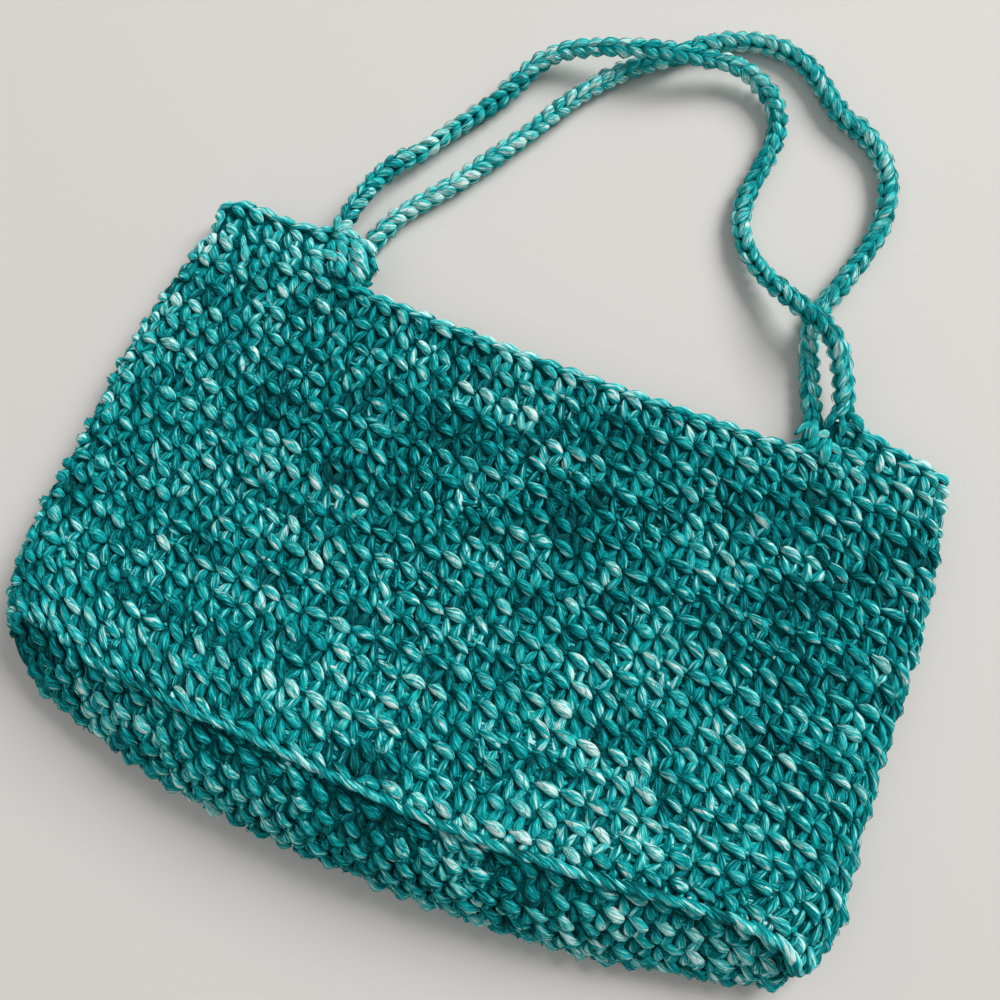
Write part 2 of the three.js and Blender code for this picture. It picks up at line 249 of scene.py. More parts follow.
@dataclass
class Lattice:
    """A patch of surface ruled into rows and stitches, with its outward normals.

    Row 0 lies at the top of the patch and column 0 at its left, seen from outside.
    """

    points: np.ndarray
    rows: float
    columns: float
    pitch: float
    closed: bool
    run: np.ndarray = field(init=False)
    fall: np.ndarray = field(init=False)
    normals: np.ndarray = field(init=False)

    def __post_init__(self) -> None:
        """Works out the patch's directions, along its rows and down them, and its normals."""
        self.fall = np.gradient(self.points, axis=0)
        self.run = np.gradient(self.points, axis=1)
        if self.closed:
            self.run = (np.roll(self.points, -1, axis=1) - np.roll(self.points, 1, axis=1)) / 2
        normal = np.cross(self.run, -self.fall)
        self.normals = normal / np.maximum(np.linalg.norm(normal, axis=-1, keepdims=True), 1e-12)

    def read(self, table: np.ndarray, row: np.ndarray, column: np.ndarray) -> np.ndarray:
        """Reads a table of the patch at places given in rows and stitches."""
        high, wide = table.shape[:2]
        at_row = np.clip(row / self.rows, 0, 1) * (high - 1)
        if self.closed:
            at_column = (column / self.columns * wide) % wide
        else:
            at_column = np.clip(column / self.columns, 0, 1) * (wide - 1)
        row0 = np.minimum(at_row.astype(int), high - 2)
        column0 = np.minimum(at_column.astype(int), wide - 1 if self.closed else wide - 2)
        column1 = (column0 + 1) % wide
        part_row, part_column = (at_row - row0)[..., None], (at_column - column0)[..., None]
        upper = table[row0, column0] * (1 - part_column) + table[row0, column1] * part_column
        lower = table[row0 + 1, column0] * (1 - part_column) + table[row0 + 1, column1] * part_column
        return upper * (1 - part_row) + lower * part_row

    def place(self, row: np.ndarray, column: np.ndarray, height: np.ndarray) -> np.ndarray:
        """Points that stand a height above the patch, which runs on straight past its ends."""
        normal = self.read(self.normals, row, column)
        normal = normal / np.linalg.norm(normal, axis=-1, keepdims=True)
        high, wide = self.points.shape[:2]
        below = (row - np.clip(row, 0, self.rows)) / self.rows * (high - 1)
        point = self.read(self.points, row, column) + normal * height[..., None]
        point = point + self.read(self.fall, row, column) * below[..., None]
        if not self.closed:
            beyond = (column - np.clip(column, 0, self.columns)) / self.columns * (wide - 1)
            point = point + self.read(self.run, row, column) * beyond[..., None]
        return point


# Yarn and stitches

# Turns places on a stretch of yarn, and their heights above it, to points of the bag.
Placing = Callable[[np.ndarray, np.ndarray, np.ndarray], np.ndarray]

BAR_TAPER = 0.56
LEG_TAPER = 0.46
FIBRE_TAPER = 0.5
YARN_ROUND = 8.0 * MM  # way round a loop of yarn, which its map is scaled to
# Painted shade along a loop: the share of light it is taken to get at each share of its length, least
# where it comes up; the material darkens the yarn's colour by it.
LIT_ALONG = ((0.0, 0.35), (0.3, 0.9), (0.85, 1.0), (1.0, 0.75))
# Where a stitch's middle lies in its row on the base and on the bands, as a share of the row.
ROW_PLACE = 0.62


def plumpness(along: np.ndarray, taper: float) -> np.ndarray:
    """How full a stretch of yarn is along it, 0 at its ends; a small taper gives blunt ends."""
    swell = np.sin(np.pi * np.clip(along, 0, 1) ** 1.3)
    return np.clip(swell, 0, 1) ** taper


@dataclass(frozen=True)
class UnitLobe:
    """One lozenge of yarn, modelled once: how far along, round and out each vertex lies."""

    along: np.ndarray
    cosine: np.ndarray
    sine: np.ndarray
    fullness: np.ndarray
    lit: np.ndarray
    faces: list[list[int]]
    uv: np.ndarray

    @classmethod
    def model(cls, sides: int, rings: int, taper: float, is_fibre: bool = False) -> "UnitLobe":
        """Shapes the lozenge from a sphere.

        Args:
            sides: faces round it.
            rings: faces along it.
            taper: how it narrows to its ends.
            is_fibre: whether it lies free on the yarn, where nothing shades its sides.

        Returns:
            The lobe's vertices as shares, its faces, and its map: along it, and round it.
        """
        bpy.ops.object.select_all(action="DESELECT")
        bpy.ops.mesh.primitive_uv_sphere_add(segments=sides, ring_count=rings, radius=1.0)
        sphere = bpy.context.object
        bpy.ops.object.mode_set(mode="EDIT")
        bpy.ops.mesh.select_all(action="SELECT")
        bpy.ops.transform.resize(value=(1.0, 1.0, 0.5))
        bpy.ops.transform.translate(value=(0.0, 0.0, 0.5))
        bpy.ops.object.mode_set(mode="OBJECT")
        mesh = sphere.data
        place = np.array([vertex.co for vertex in mesh.vertices])
        along = np.arccos(np.clip(1 - 2 * place[:, 2], -1, 1)) / np.pi
        angle = np.arctan2(place[:, 1], place[:, 0])
        fullness = plumpness(along, taper)
        fullness[(along < 0.01) | (along > 0.99)] = 0.0
        # Painted light and shade: the outer side of each loop counts as lit, the side that faces into the
        # fabric as shaded, and its ends as sunk in shade.
        lit = (0.5 + 0.5 * np.sin(angle) * fullness) * np.interp(along, *zip(*LIT_ALONG))
        if is_fibre:
            lit = np.ones_like(along)
        faces = [list(polygon.vertices) for polygon in mesh.polygons]
        uv = []
        for polygon in mesh.polygons:
            turns = [(angle[v] / (2 * np.pi) + 0.25) % 1.0 for v in polygon.vertices]
            poles = [fullness[v] == 0.0 for v in polygon.vertices]
            solid = [turn for turn, pole in zip(turns, poles) if not pole]
            wraps = max(solid) - min(solid) > 0.5
            solid = [turn + 1 if wraps and turn < 0.5 else turn for turn in solid]
            middle = sum(solid) / len(solid)
            for vertex, turn, pole in zip(polygon.vertices, turns, poles):
                turn = turn + 1 if wraps and turn < 0.5 else turn
                uv.append((along[vertex], middle if pole else turn))
        bpy.data.objects.remove(sphere)
        return cls(along, np.cos(angle), np.sin(angle), fullness, lit, faces, np.array(uv))


@dataclass(frozen=True)
class Lobe:
    """A visible stretch of yarn in a stitch; places are shares of the stitch's width and row."""

    start: tuple[float, float]
    end: tuple[float, float]
    width: float
    thickness: float
    start_depth: float
    crest_depth: float
    end_depth: float
    crest: float = 0.62
    bow: float = 0.0
    tone: float = 0.0
    plump: bool = False


# A single crochet, seen from outside: the slanting bar that covers the row below, the two legs of
# its V, which run down under the bars of the next row, and the strand that lies deep behind them.
# Their tones are painted light and shade: the raised bar is paler, the legs darker and the deep strand
# darkest, by how far each lies in.
STITCH = (
    Lobe((-0.56, 0.28), (0.52, -0.28), 3.05 * MM, 2.9 * MM, -2.7 * MM, -0.9 * MM, -1.5 * MM,
         bow=0.3 * MM, tone=0.09, plump=True),
    Lobe((-0.36, -0.04), (-0.06, -1.00), 2.9 * MM, 2.6 * MM, -1.8 * MM, -1.5 * MM, -2.4 * MM,
         crest=0.45, tone=-0.08),
    Lobe((0.42, -0.14), (0.10, -1.00), 2.7 * MM, 2.4 * MM, -1.9 * MM, -1.6 * MM, -2.5 * MM,
         crest=0.45, tone=-0.11),
    Lobe((-0.62, -0.50), (0.62, -0.78), 3.0 * MM, 2.0 * MM, -2.5 * MM, -2.3 * MM, -2.5 * MM,
         crest=0.5, tone=-0.20),
)
# The strands that fill the gaps between the bars and the legs, painted dark as painted shade, for the
# gaps lie in shadow.
GROUND = (
    Lobe((-0.62, -0.16), (0.14, -0.50), 3.0 * MM, 2.2 * MM, -2.7 * MM, -2.4 * MM, -2.7 * MM,
         crest=0.5, tone=-0.20),
    Lobe((0.02, 0.44), (0.66, 0.02), 3.0 * MM, 2.2 * MM, -2.7 * MM, -2.4 * MM, -2.7 * MM,
         crest=0.5, tone=-0.20),
)
# A stitch whose next row lies round an edge: its legs end at the edge.
EDGE_ROW = (STITCH[0], replace(STITCH[1], end=(-0.16, -0.56)), replace(STITCH[2], end=(0.20, -0.56)))


@dataclass(frozen=True)
class YarnLobes:
    """The lozenges of yarn: a finely divided one for bars and cords, a light one and a fibre."""

    fine: UnitLobe
    light: UnitLobe
    fibre: UnitLobe

    @classmethod
    def model(cls) -> "YarnLobes":
        """Models the three."""
        fine = UnitLobe.model(sides=8, rings=8, taper=BAR_TAPER)
        light = UnitLobe.model(sides=6, rings=5, taper=LEG_TAPER)
        return cls(fine, light, UnitLobe.model(sides=3, rings=3, taper=FIBRE_TAPER, is_fibre=True))


@dataclass(frozen=True)
class YarnBatch:
    """Lobes laid together: their lozenge, their vertices, and each one's tone and length."""

    unit: UnitLobe
    points: np.ndarray
    tones: np.ndarray
    lengths: np.ndarray


@dataclass
class YarnMesh:
    """Gathers lobes of yarn and makes one mesh of them."""

    units: YarnLobes
    batches: list[YarnBatch] = field(default_factory=list)
    lowest: float = 0.05 * MM

    def add(self, unit: UnitLobe, points: np.ndarray, tones: np.ndarray, length: float) -> None:
        """Adds lobes of one length: their vertices (lobe, vertex, xyz) and their tones."""
        points = points.copy()
        points[..., 2] = np.maximum(points[..., 2], self.lowest)
        self.batches.append(YarnBatch(unit, points, tones, np.full(len(tones), length)))

    def build(self, name: str) -> bpy.types.Object:
        """Makes the object, with its map in metres, and its tones, strands and painted shade as
        attributes.

        Args:
            name: the piece's name.

        Returns:
            The new object, linked to the scene, at the origin.
        """
        places, indices, sizes, maps, tones, strands, painted_shade = [], [], [], [], [], [], []
        offset = 0
        for batch in self.batches:
            copies, per_lobe = batch.points.shape[:2]
            corners = np.concatenate([np.array(face) for face in batch.unit.faces])
            first = offset + np.arange(copies)[:, None] * per_lobe
            places.append(batch.points.reshape(-1, 3))
            indices.append((first + corners).reshape(-1))
            sizes.append(np.tile([len(face) for face in batch.unit.faces], copies))
            uv = np.empty((copies, len(corners), 2))
            uv[..., 0] = batch.unit.uv[:, 0] * batch.lengths[:, None]
            uv[..., 1] = batch.unit.uv[:, 1] * YARN_ROUND
            maps.append(uv.reshape(-1))
            tones.append(np.repeat(batch.tones, per_lobe))
            strands.append(np.repeat((offset + np.arange(copies) * 0.61803) % 1.0, per_lobe))
            painted_shade.append(np.tile(batch.unit.lit, copies))
            offset += copies * per_lobe
        size = np.concatenate(sizes)
        index = np.concatenate(indices)
        mesh = bpy.data.meshes.new(name)
        mesh.vertices.add(offset)
        mesh.vertices.foreach_set("co", np.concatenate(places).reshape(-1))
        mesh.loops.add(len(index))
        mesh.loops.foreach_set("vertex_index", index)
        mesh.polygons.add(len(size))
        mesh.polygons.foreach_set("loop_start", np.concatenate([[0], np.cumsum(size)[:-1]]))
        mesh.update(calc_edges=True)
        mesh.polygons.foreach_set("use_smooth", np.ones(len(size), bool))
        layer = mesh.uv_layers.new(name="yarn")
        layer.data.foreach_set("uv", np.concatenate(maps))
        # The lit attribute carries each vertex's painted shade.
        for label, values in (("tone", tones), ("strand", strands), ("lit", painted_shade)):
            attribute = mesh.attributes.new(label, "FLOAT", "POINT")
            attribute.data.foreach_set("value", np.concatenate(values))
        piece = bpy.data.objects.new(name, mesh)
        bpy.context.scene.collection.objects.link(piece)
        return piece


@dataclass(frozen=True)
class ToneRow:
    """How pale the yarn is at a share of the panel's height, from 0, dark teal, to 1, white."""

    down: float
    left: float
    right: float


TONES = (
    ToneRow(0.00, 0.44, 0.42),
    ToneRow(0.10, 0.36, 0.32),
    ToneRow(0.25, 0.32, 0.29),
    ToneRow(0.42, 0.36, 0.30),
    ToneRow(0.58, 0.38, 0.36),
    ToneRow(0.74, 0.35, 0.41),
    ToneRow(0.88, 0.37, 0.41),
    ToneRow(1.00, 0.35, 0.37),
)


@dataclass
class YarnTones:
    """The dye of the yarn: pale and dark stretches, and now and then a nearly white one."""

    random: np.random.Generator
    spread: float = 0.105
    hold: float = 0.66
    fleck_share: float = 0.05
    fleck_tone: float = 0.19
    patch_tone: float = 0.03

    def draw(self, down: np.ndarray, x: np.ndarray, half_width: float) -> np.ndarray:
        """A tone for each stitch.

        Args:
            down: where its row lies on the panel.
            x: where it lies across the bag.
            half_width: half the bag's width.

        Returns:
            Tones from about 0 to 1.
        """
        places = np.array([row.down for row in TONES])
        left = cubic_column(places, np.array([row.left for row in TONES]), down)
        right = cubic_column(places, np.array([row.right for row in TONES]), down)
        across = np.clip((x / half_width + 1) / 2, 0, 1)
        # Slow waves, about 66 and 170 mm long across the bag, make broad paler and darker patches.
        patch = np.sin(x * 95 + down * 9) * np.sin(x * 37 - down * 23 + 1.3)
        tone = left + (right - left) * across + self.patch_tone * patch
        return tone + self.wander(len(tone))

    def wander(self, count: int) -> np.ndarray:
        """How the dye changes from each stitch to the next along the yarn."""
        change = self.random.normal(0, self.spread, count)
        for place in range(1, count):
            change[place] = self.hold * change[place - 1] + math.sqrt(1 - self.hold ** 2) * change[place]
        return change

    def flecks(self, count: int) -> np.ndarray:
        """What the nearly white stretches add to each lobe's tone."""
        return (self.random.random(count) < self.fleck_share) * self.fleck_tone


@dataclass(frozen=True)
class LobePose:
    """How the copies of one stretch of yarn lie, each in its own stitch."""

    lobe: Lobe
    stitch: tuple[float, float]
    angle: np.ndarray
    scale: np.ndarray
    shift: np.ndarray
    rise: np.ndarray

    @property
    def length(self) -> float:
        """Length of the stretch."""
        return float(np.linalg.norm(np.subtract(self.lobe.end, self.lobe.start) * self.stitch))

    def points(self, along: np.ndarray, aside: np.ndarray,
               outward: np.ndarray) -> tuple[np.ndarray, np.ndarray, np.ndarray]:
        """Places on the stretch.

        Args:
            along: share of the way along it.
            aside: shares of half its width.
            outward: shares of half its thickness.

        Returns:
            How far across and up from the stitch's middle they lie, and their heights.
        """
        lobe = self.lobe
        middle = np.add(lobe.start, lobe.end) / 2 * self.stitch
        forward = (along - 0.5) * self.length
        sideways = aside * lobe.width / 2 * self.scale + lobe.bow * np.sin(np.pi * along)
        cosine, sine = np.cos(self.angle), np.sin(self.angle)
        across = middle[0] + forward * cosine - sideways * sine + self.shift[0]
        up = middle[1] + forward * sine + sideways * cosine + self.shift[1]
        rising = np.interp(along, [0, lobe.crest, 1],
                           [lobe.start_depth, lobe.crest_depth, lobe.end_depth])
        return across, up, rising + outward * lobe.thickness / 2 * self.scale + self.rise


@dataclass
class Fuzz:
    """Loose fibres that lie on the loops, mostly paler than they are."""

    mesh: YarnMesh
    random: np.random.Generator
    width: float = 0.32 * MM
    lift: float = 0.20 * MM
    drift: float = 1.2
    pale: float = 0.07
    pale_spread: float = 0.13
    palest: float = 0.84
    spans: tuple[float, float] = (0.35, 0.75)
    places: tuple[float, float] = (0.08, 0.92)
    turns: tuple[float, float] = (0.15, 0.85)

    def lay(self, pose: "LobePose | ChainPose", tones: np.ndarray, place: Placing,
            fibres: int, taper: float) -> None:
        """Lays fibres on the copies of one stretch of yarn.

        Args:
            pose: how the copies lie.
            tones: their tones.
            place: turns places on the stretch to points of the bag.
            fibres: how many lie on each copy.
            taper: how the copies narrow to their ends.
        """
        unit = self.mesh.units.fibre
        lobe, count = pose.lobe, len(tones)
        for _ in range(fibres):
            span = self.random.uniform(*self.spans, (count, 1))
            first = self.random.uniform(*self.places, (count, 1)) * (1 - span)
            turn = self.random.uniform(*self.turns, (count, 1)) * np.pi
            turn = turn + self.random.normal(0, self.drift, (count, 1)) * (unit.along - 0.5)
            along = first + span * unit.along
            full = plumpness(along, taper)
            lift = self.random.uniform(0, 2 * self.lift, (count, 1))
            aside = np.cos(turn) * full + unit.cosine * unit.fullness * self.width / lobe.width
            outward = np.sin(turn) * full + 2 * lift / lobe.thickness
            outward = outward + unit.sine * unit.fullness * self.width / lobe.thickness
            tone = tones + self.random.normal(self.pale, self.pale_spread, count)
            self.mesh.add(unit, place(*pose.points(along, aside, outward)),
                          np.clip(tone, 0, self.palest), pose.length / 2)


@dataclass
class Stitcher:
    """Lays stitches on a lattice."""

    random: np.random.Generator
    tones: YarnTones
    half_width: float
    jitter: float = 0.26 * MM
    turn: float = 0.15
    size_spread: float = 0.11
    tone_spread: float = 0.05
    bar_fibres: int = 4
    leg_fibres: int = 1

    def lay(self, mesh: YarnMesh, lattice: Lattice, rows: np.ndarray, columns: np.ndarray,
            down: np.ndarray, stitch: tuple[float, float], row_unit: float | np.ndarray,
            lobes: tuple[Lobe, ...] = STITCH, fuzz: Fuzz | None = None, painted_shading: float = 0.0) -> None:
        """Lays one stitch at each place.

        Args:
            mesh: the mesh that gathers the yarn.
            lattice: the surface that the stitches lie on.
            rows: the row of each stitch, 0.5 in the middle of the first one.
            columns: the column of each stitch.
            down: where each stitch lies on the panel, for its tone.
            stitch: width and height that a stitch's places are shares of.
            row_unit: how much surface one of the lattice's rows covers at each stitch.
            lobes: the stretches of yarn in a stitch.
            fuzz: what lays loose fibres on them.
            painted_shading: what is added to every tone.
        """
        x = lattice.read(lattice.points, rows, columns)[:, 0]
        # What is added here is painted light and shade: the base lifts its rows and darkens its first row
        # by it.
        tone = self.tones.draw(down, x, self.half_width) + painted_shading
        count = len(rows)
        row_unit = np.broadcast_to(row_unit, (count,))[:, None]

        def place(across: np.ndarray, up: np.ndarray, height: np.ndarray) -> np.ndarray:
            """Points of the bag at places given in each stitch."""
            return lattice.place(rows[:, None] - up / row_unit,
                                 columns[:, None] + across / lattice.pitch, height)

        for lobe in lobes:
            unit = mesh.units.fine if lobe.plump else mesh.units.light
            heading = np.subtract(lobe.end, lobe.start) * stitch
            angle = math.atan2(heading[1], heading[0])
            pose = LobePose(lobe, stitch, angle + self.random.normal(0, self.turn, count)[:, None],
                            1 + self.random.normal(0, self.size_spread, count)[:, None],
                            self.random.normal(0, self.jitter, (2, count, 1)),
                            self.random.normal(0, self.jitter, count)[:, None])
            points = place(*pose.points(unit.along, unit.cosine * unit.fullness,
                                        unit.sine * unit.fullness))
            spread = self.random.normal(0, self.tone_spread, count) + self.tones.flecks(count)
            tones = np.clip(tone + lobe.tone + spread, 0, 1)
            mesh.add(unit, points, tones, pose.length)
            if fuzz is not None:
                fuzz.lay(pose, tones, place, self.bar_fibres if lobe.plump else self.leg_fibres,
                         BAR_TAPER if lobe.plump else LEG_TAPER)


# Cords and chains

ROUTE_STEPS = 12  # between two points of a route, before it is cut into even steps


def smooth_route(route: np.ndarray, spacing: float) -> np.ndarray:
    """A smooth curve through a route's points, at even steps.

    Args:
        route: the points, one in each row.
        spacing: about how far apart the new points lie.

    Returns:
        Points at even steps along the curve.
    """
    ends = [2 * route[0] - route[1], *route, 2 * route[-1] - route[-2]]
    pieces = []
    for p0, p1, p2, p3 in zip(ends, ends[1:], ends[2:], ends[3:]):
        gap0, gap1, gap2 = (math.sqrt(np.linalg.norm(b - a)) for a, b in ((p0, p1), (p1, p2), (p2, p3)))
        pull1 = gap1 * ((p1 - p0) / gap0 - (p2 - p0) / (gap0 + gap1) + (p2 - p1) / gap1)
        pull2 = gap1 * ((p2 - p1) / gap1 - (p3 - p1) / (gap1 + gap2) + (p3 - p2) / gap2)
        t = np.linspace(0, 1, ROUTE_STEPS, endpoint=False)[:, None]
        pieces.append((2 * t ** 3 - 3 * t ** 2 + 1) * p1 + (t ** 3 - 2 * t ** 2 + t) * pull1
                      + (3 * t ** 2 - 2 * t ** 3) * p2 + (t ** 3 - t ** 2) * pull2)
    fine = np.concatenate([*pieces, route[-1:]])
    length = np.concatenate([[0], np.cumsum(np.linalg.norm(np.diff(fine, axis=0), axis=1))])
    even = np.linspace(0, length[-1], max(int(round(length[-1] / spacing)), 2) + 1)
    return np.stack([np.interp(even, length, fine[:, axis]) for axis in range(3)], axis=1)


@dataclass(frozen=True)
class ChainLobe:
    """A loop of a chain: where it starts and ends along it, and how it stands round it."""

    start: float
    end: float
    angle: float
    lean: float
    width: float
    thickness: float
    start_radius: float
    crest_radius: float
    end_radius: float
    tone: float = 0.0
    crest: float = 0.55


@dataclass(frozen=True)
class ChainPose:
    """How the copies of one loop of a chain lie along its line."""

    lobe: ChainLobe
    pitch: float
    middle: np.ndarray
    lean: np.ndarray
    scale: np.ndarray

    @property
    def length(self) -> float:
        """Length of the loop."""
        return (self.lobe.end - self.lobe.start) * self.pitch

    def points(self, along: np.ndarray, aside: np.ndarray,
               outward: np.ndarray) -> tuple[np.ndarray, np.ndarray, np.ndarray]:
        """Places on the loop.

        Args:
            along: share of the way along it.
            aside: shares of half its width.
            outward: shares of half its thickness.

        Returns:
            How far along the line, beside it and out from it they lie.
        """
        lobe = self.lobe
        forward = (along - 0.5) * self.length
        sideways = aside * lobe.width / 2 * self.scale
        cosine, sine = np.cos(self.lean), np.sin(self.lean)
        at = self.middle + (lobe.start + lobe.end) / 2 * self.pitch + forward * cosine - sideways * sine
        radius = np.interp(along, [0, lobe.crest, 1],
                           [lobe.start_radius, lobe.crest_radius, lobe.end_radius])
        return at, forward * sine + sideways * cosine, radius + outward * lobe.thickness / 2 * self.scale


@dataclass
class ChainLine:
    """Loops laid one after another along a line, such as a cord, an edge or a ridge."""

    line: np.ndarray
    outward: np.ndarray
    random: np.random.Generator
    spread: float = 0.06
    tone_spread: float = 0.07
    place: np.ndarray = field(init=False)
    heading: np.ndarray = field(init=False)
    side: np.ndarray = field(init=False)
    out: np.ndarray = field(init=False)

    def __post_init__(self) -> None:
        """Works out the line's lengths and the directions round it."""
        steps = np.linalg.norm(np.diff(self.line, axis=0), axis=1)
        self.place = np.concatenate([[0], np.cumsum(steps)])
        self.heading = np.gradient(self.line, axis=0)
        self.heading /= np.linalg.norm(self.heading, axis=1, keepdims=True)
        outward = np.broadcast_to(self.outward, self.line.shape)
        self.side = np.cross(self.heading, outward)
        self.side /= np.linalg.norm(self.side, axis=1, keepdims=True)
        self.out = np.cross(self.side, self.heading)

    @property
    def length(self) -> float:
        """Length of the line."""
        return float(self.place[-1])

    def read(self, table: np.ndarray, at: np.ndarray) -> np.ndarray:
        """Reads a table of the line at lengths along it; past its ends the line runs on straight."""
        inside = np.clip(at, 0, self.length)
        value = np.stack([np.interp(inside, self.place, table[:, axis]) for axis in range(3)], -1)
        if table is self.line:
            value = value + self.read(self.heading, at) * (at - inside)[..., None]
        return value

    def stand(self, at: np.ndarray, aside: np.ndarray, radius: np.ndarray,
              angle: np.ndarray) -> np.ndarray:
        """Points at lengths along the line, beside it and out from it, turned about it."""
        out, side = self.read(self.out, at), self.read(self.side, at)
        cosine, sine = np.cos(angle)[..., None], np.sin(angle)[..., None]
        normal, lateral = out * cosine + side * sine, side * cosine - out * sine
        return self.read(self.line, at) + normal * radius[..., None] + lateral * aside[..., None]

    def lay(self, mesh: YarnMesh, pitch: float, lobes: tuple[ChainLobe, ...], tone: np.ndarray,
            twist: np.ndarray | float = 0.0, size: np.ndarray | float = 1.0,
            fibres: int = 0) -> None:
        """Lays the loops.

        Args:
            mesh: the mesh that gathers the yarn.
            pitch: length of a stitch of the chain.
            lobes: the loops of one stitch.
            tone: the tone of each stitch.
            twist: how far the chain has turned about its line at each stitch.
            size: how thick the yarn is at each stitch, as a share of the loops' own sizes.
            fibres: how many loose fibres lie on each loop.
        """
        count = len(tone)
        middle = ((np.arange(count) + 0.5) * self.length / count)[:, None]
        turned = np.broadcast_to(twist, (count,))
        unit = mesh.units.fine
        fuzz = Fuzz(mesh, self.random)
        for lobe in lobes:
            scale = (size * (1 + self.random.normal(0, self.spread, count)))[:, None]
            lean = lobe.lean + self.random.normal(0, self.spread, count)[:, None]
            pose = ChainPose(lobe, pitch, middle, lean, scale)
            place = partial(self.stand, angle=(lobe.angle + turned)[:, None])
            points = place(*pose.points(unit.along, unit.cosine * unit.fullness,
                                        unit.sine * unit.fullness))
            loops = tone + lobe.tone + self.random.normal(0, self.tone_spread, count)
            loops = np.clip(loops, 0, 1)
            mesh.add(unit, points, loops, pose.length)
            fuzz.lay(pose, loops, place, fibres, BAR_TAPER)


# Finishes

def linear(hex_colour: str) -> tuple[float, float, float, float]:
    """Turns an sRGB colour such as "#0a8f8e" to linear red, green, blue and alpha."""
    channels = [int(hex_colour[place:place + 2], 16) / 255 for place in (1, 3, 5)]
    turned = [c / 12.92 if c <= 0.04045 else ((c + 0.055) / 1.055) ** 2.4 for c in channels]
    return (*turned, 1.0)


def add_node(material: bpy.types.Material, kind: str, settings: dict | None = None,
             inputs: dict | None = None) -> bpy.types.Node:
    """Adds a node to a material.

    Args:
        material: the material.
        kind: the node's type.
        settings: values of the node's own properties.
        inputs: for each input, by name or place, a value or the socket that feeds it.

    Returns:
        The new node.
    """
    node = material.node_tree.nodes.new(kind)
    for name, value in (settings or {}).items():
        setattr(node, name, value)
    for name, value in (inputs or {}).items():
        if isinstance(value, bpy.types.NodeSocket):
            material.node_tree.links.new(value, node.inputs[name])
        else:
            node.inputs[name].default_value = value
    return node


def new_material(name: str) -> bpy.types.Material:
    """An empty material with nodes, and only its output."""
    material = bpy.data.materials.new(name)
    material.use_nodes = True
    for node in list(material.node_tree.nodes):
        if node.type != "OUTPUT_MATERIAL":
            material.node_tree.nodes.remove(node)
    return material


def finish_material(material: bpy.types.Material, shader: bpy.types.Node) -> None:
    """Links a shader to the material's output."""
    output = next(node for node in material.node_tree.nodes if node.type == "OUTPUT_MATERIAL")
    material.node_tree.links.new(shader.outputs[0], output.inputs["Surface"])


def dye_ramp(material: bpy.types.Material, tone: bpy.types.NodeSocket,
             dyes: tuple[tuple[float, str], ...]) -> bpy.types.Node:
    """Adds the node that turns a tone to the yarn's colour.

    Args:
        material: the material.
        tone: the socket that gives the tone.
        dyes: the colour at each tone, in rising order.

    Returns:
        The new node.
    """
    ramp = add_node(material, "ShaderNodeValToRGB", inputs={"Fac": tone})
    stops = ramp.color_ramp.elements
    while len(stops) < len(dyes):
        stops.new(0.5)
    for stop, (place, colour) in zip(stops, dyes):
        stop.position = place
        stop.color = linear(colour)
    return ramp


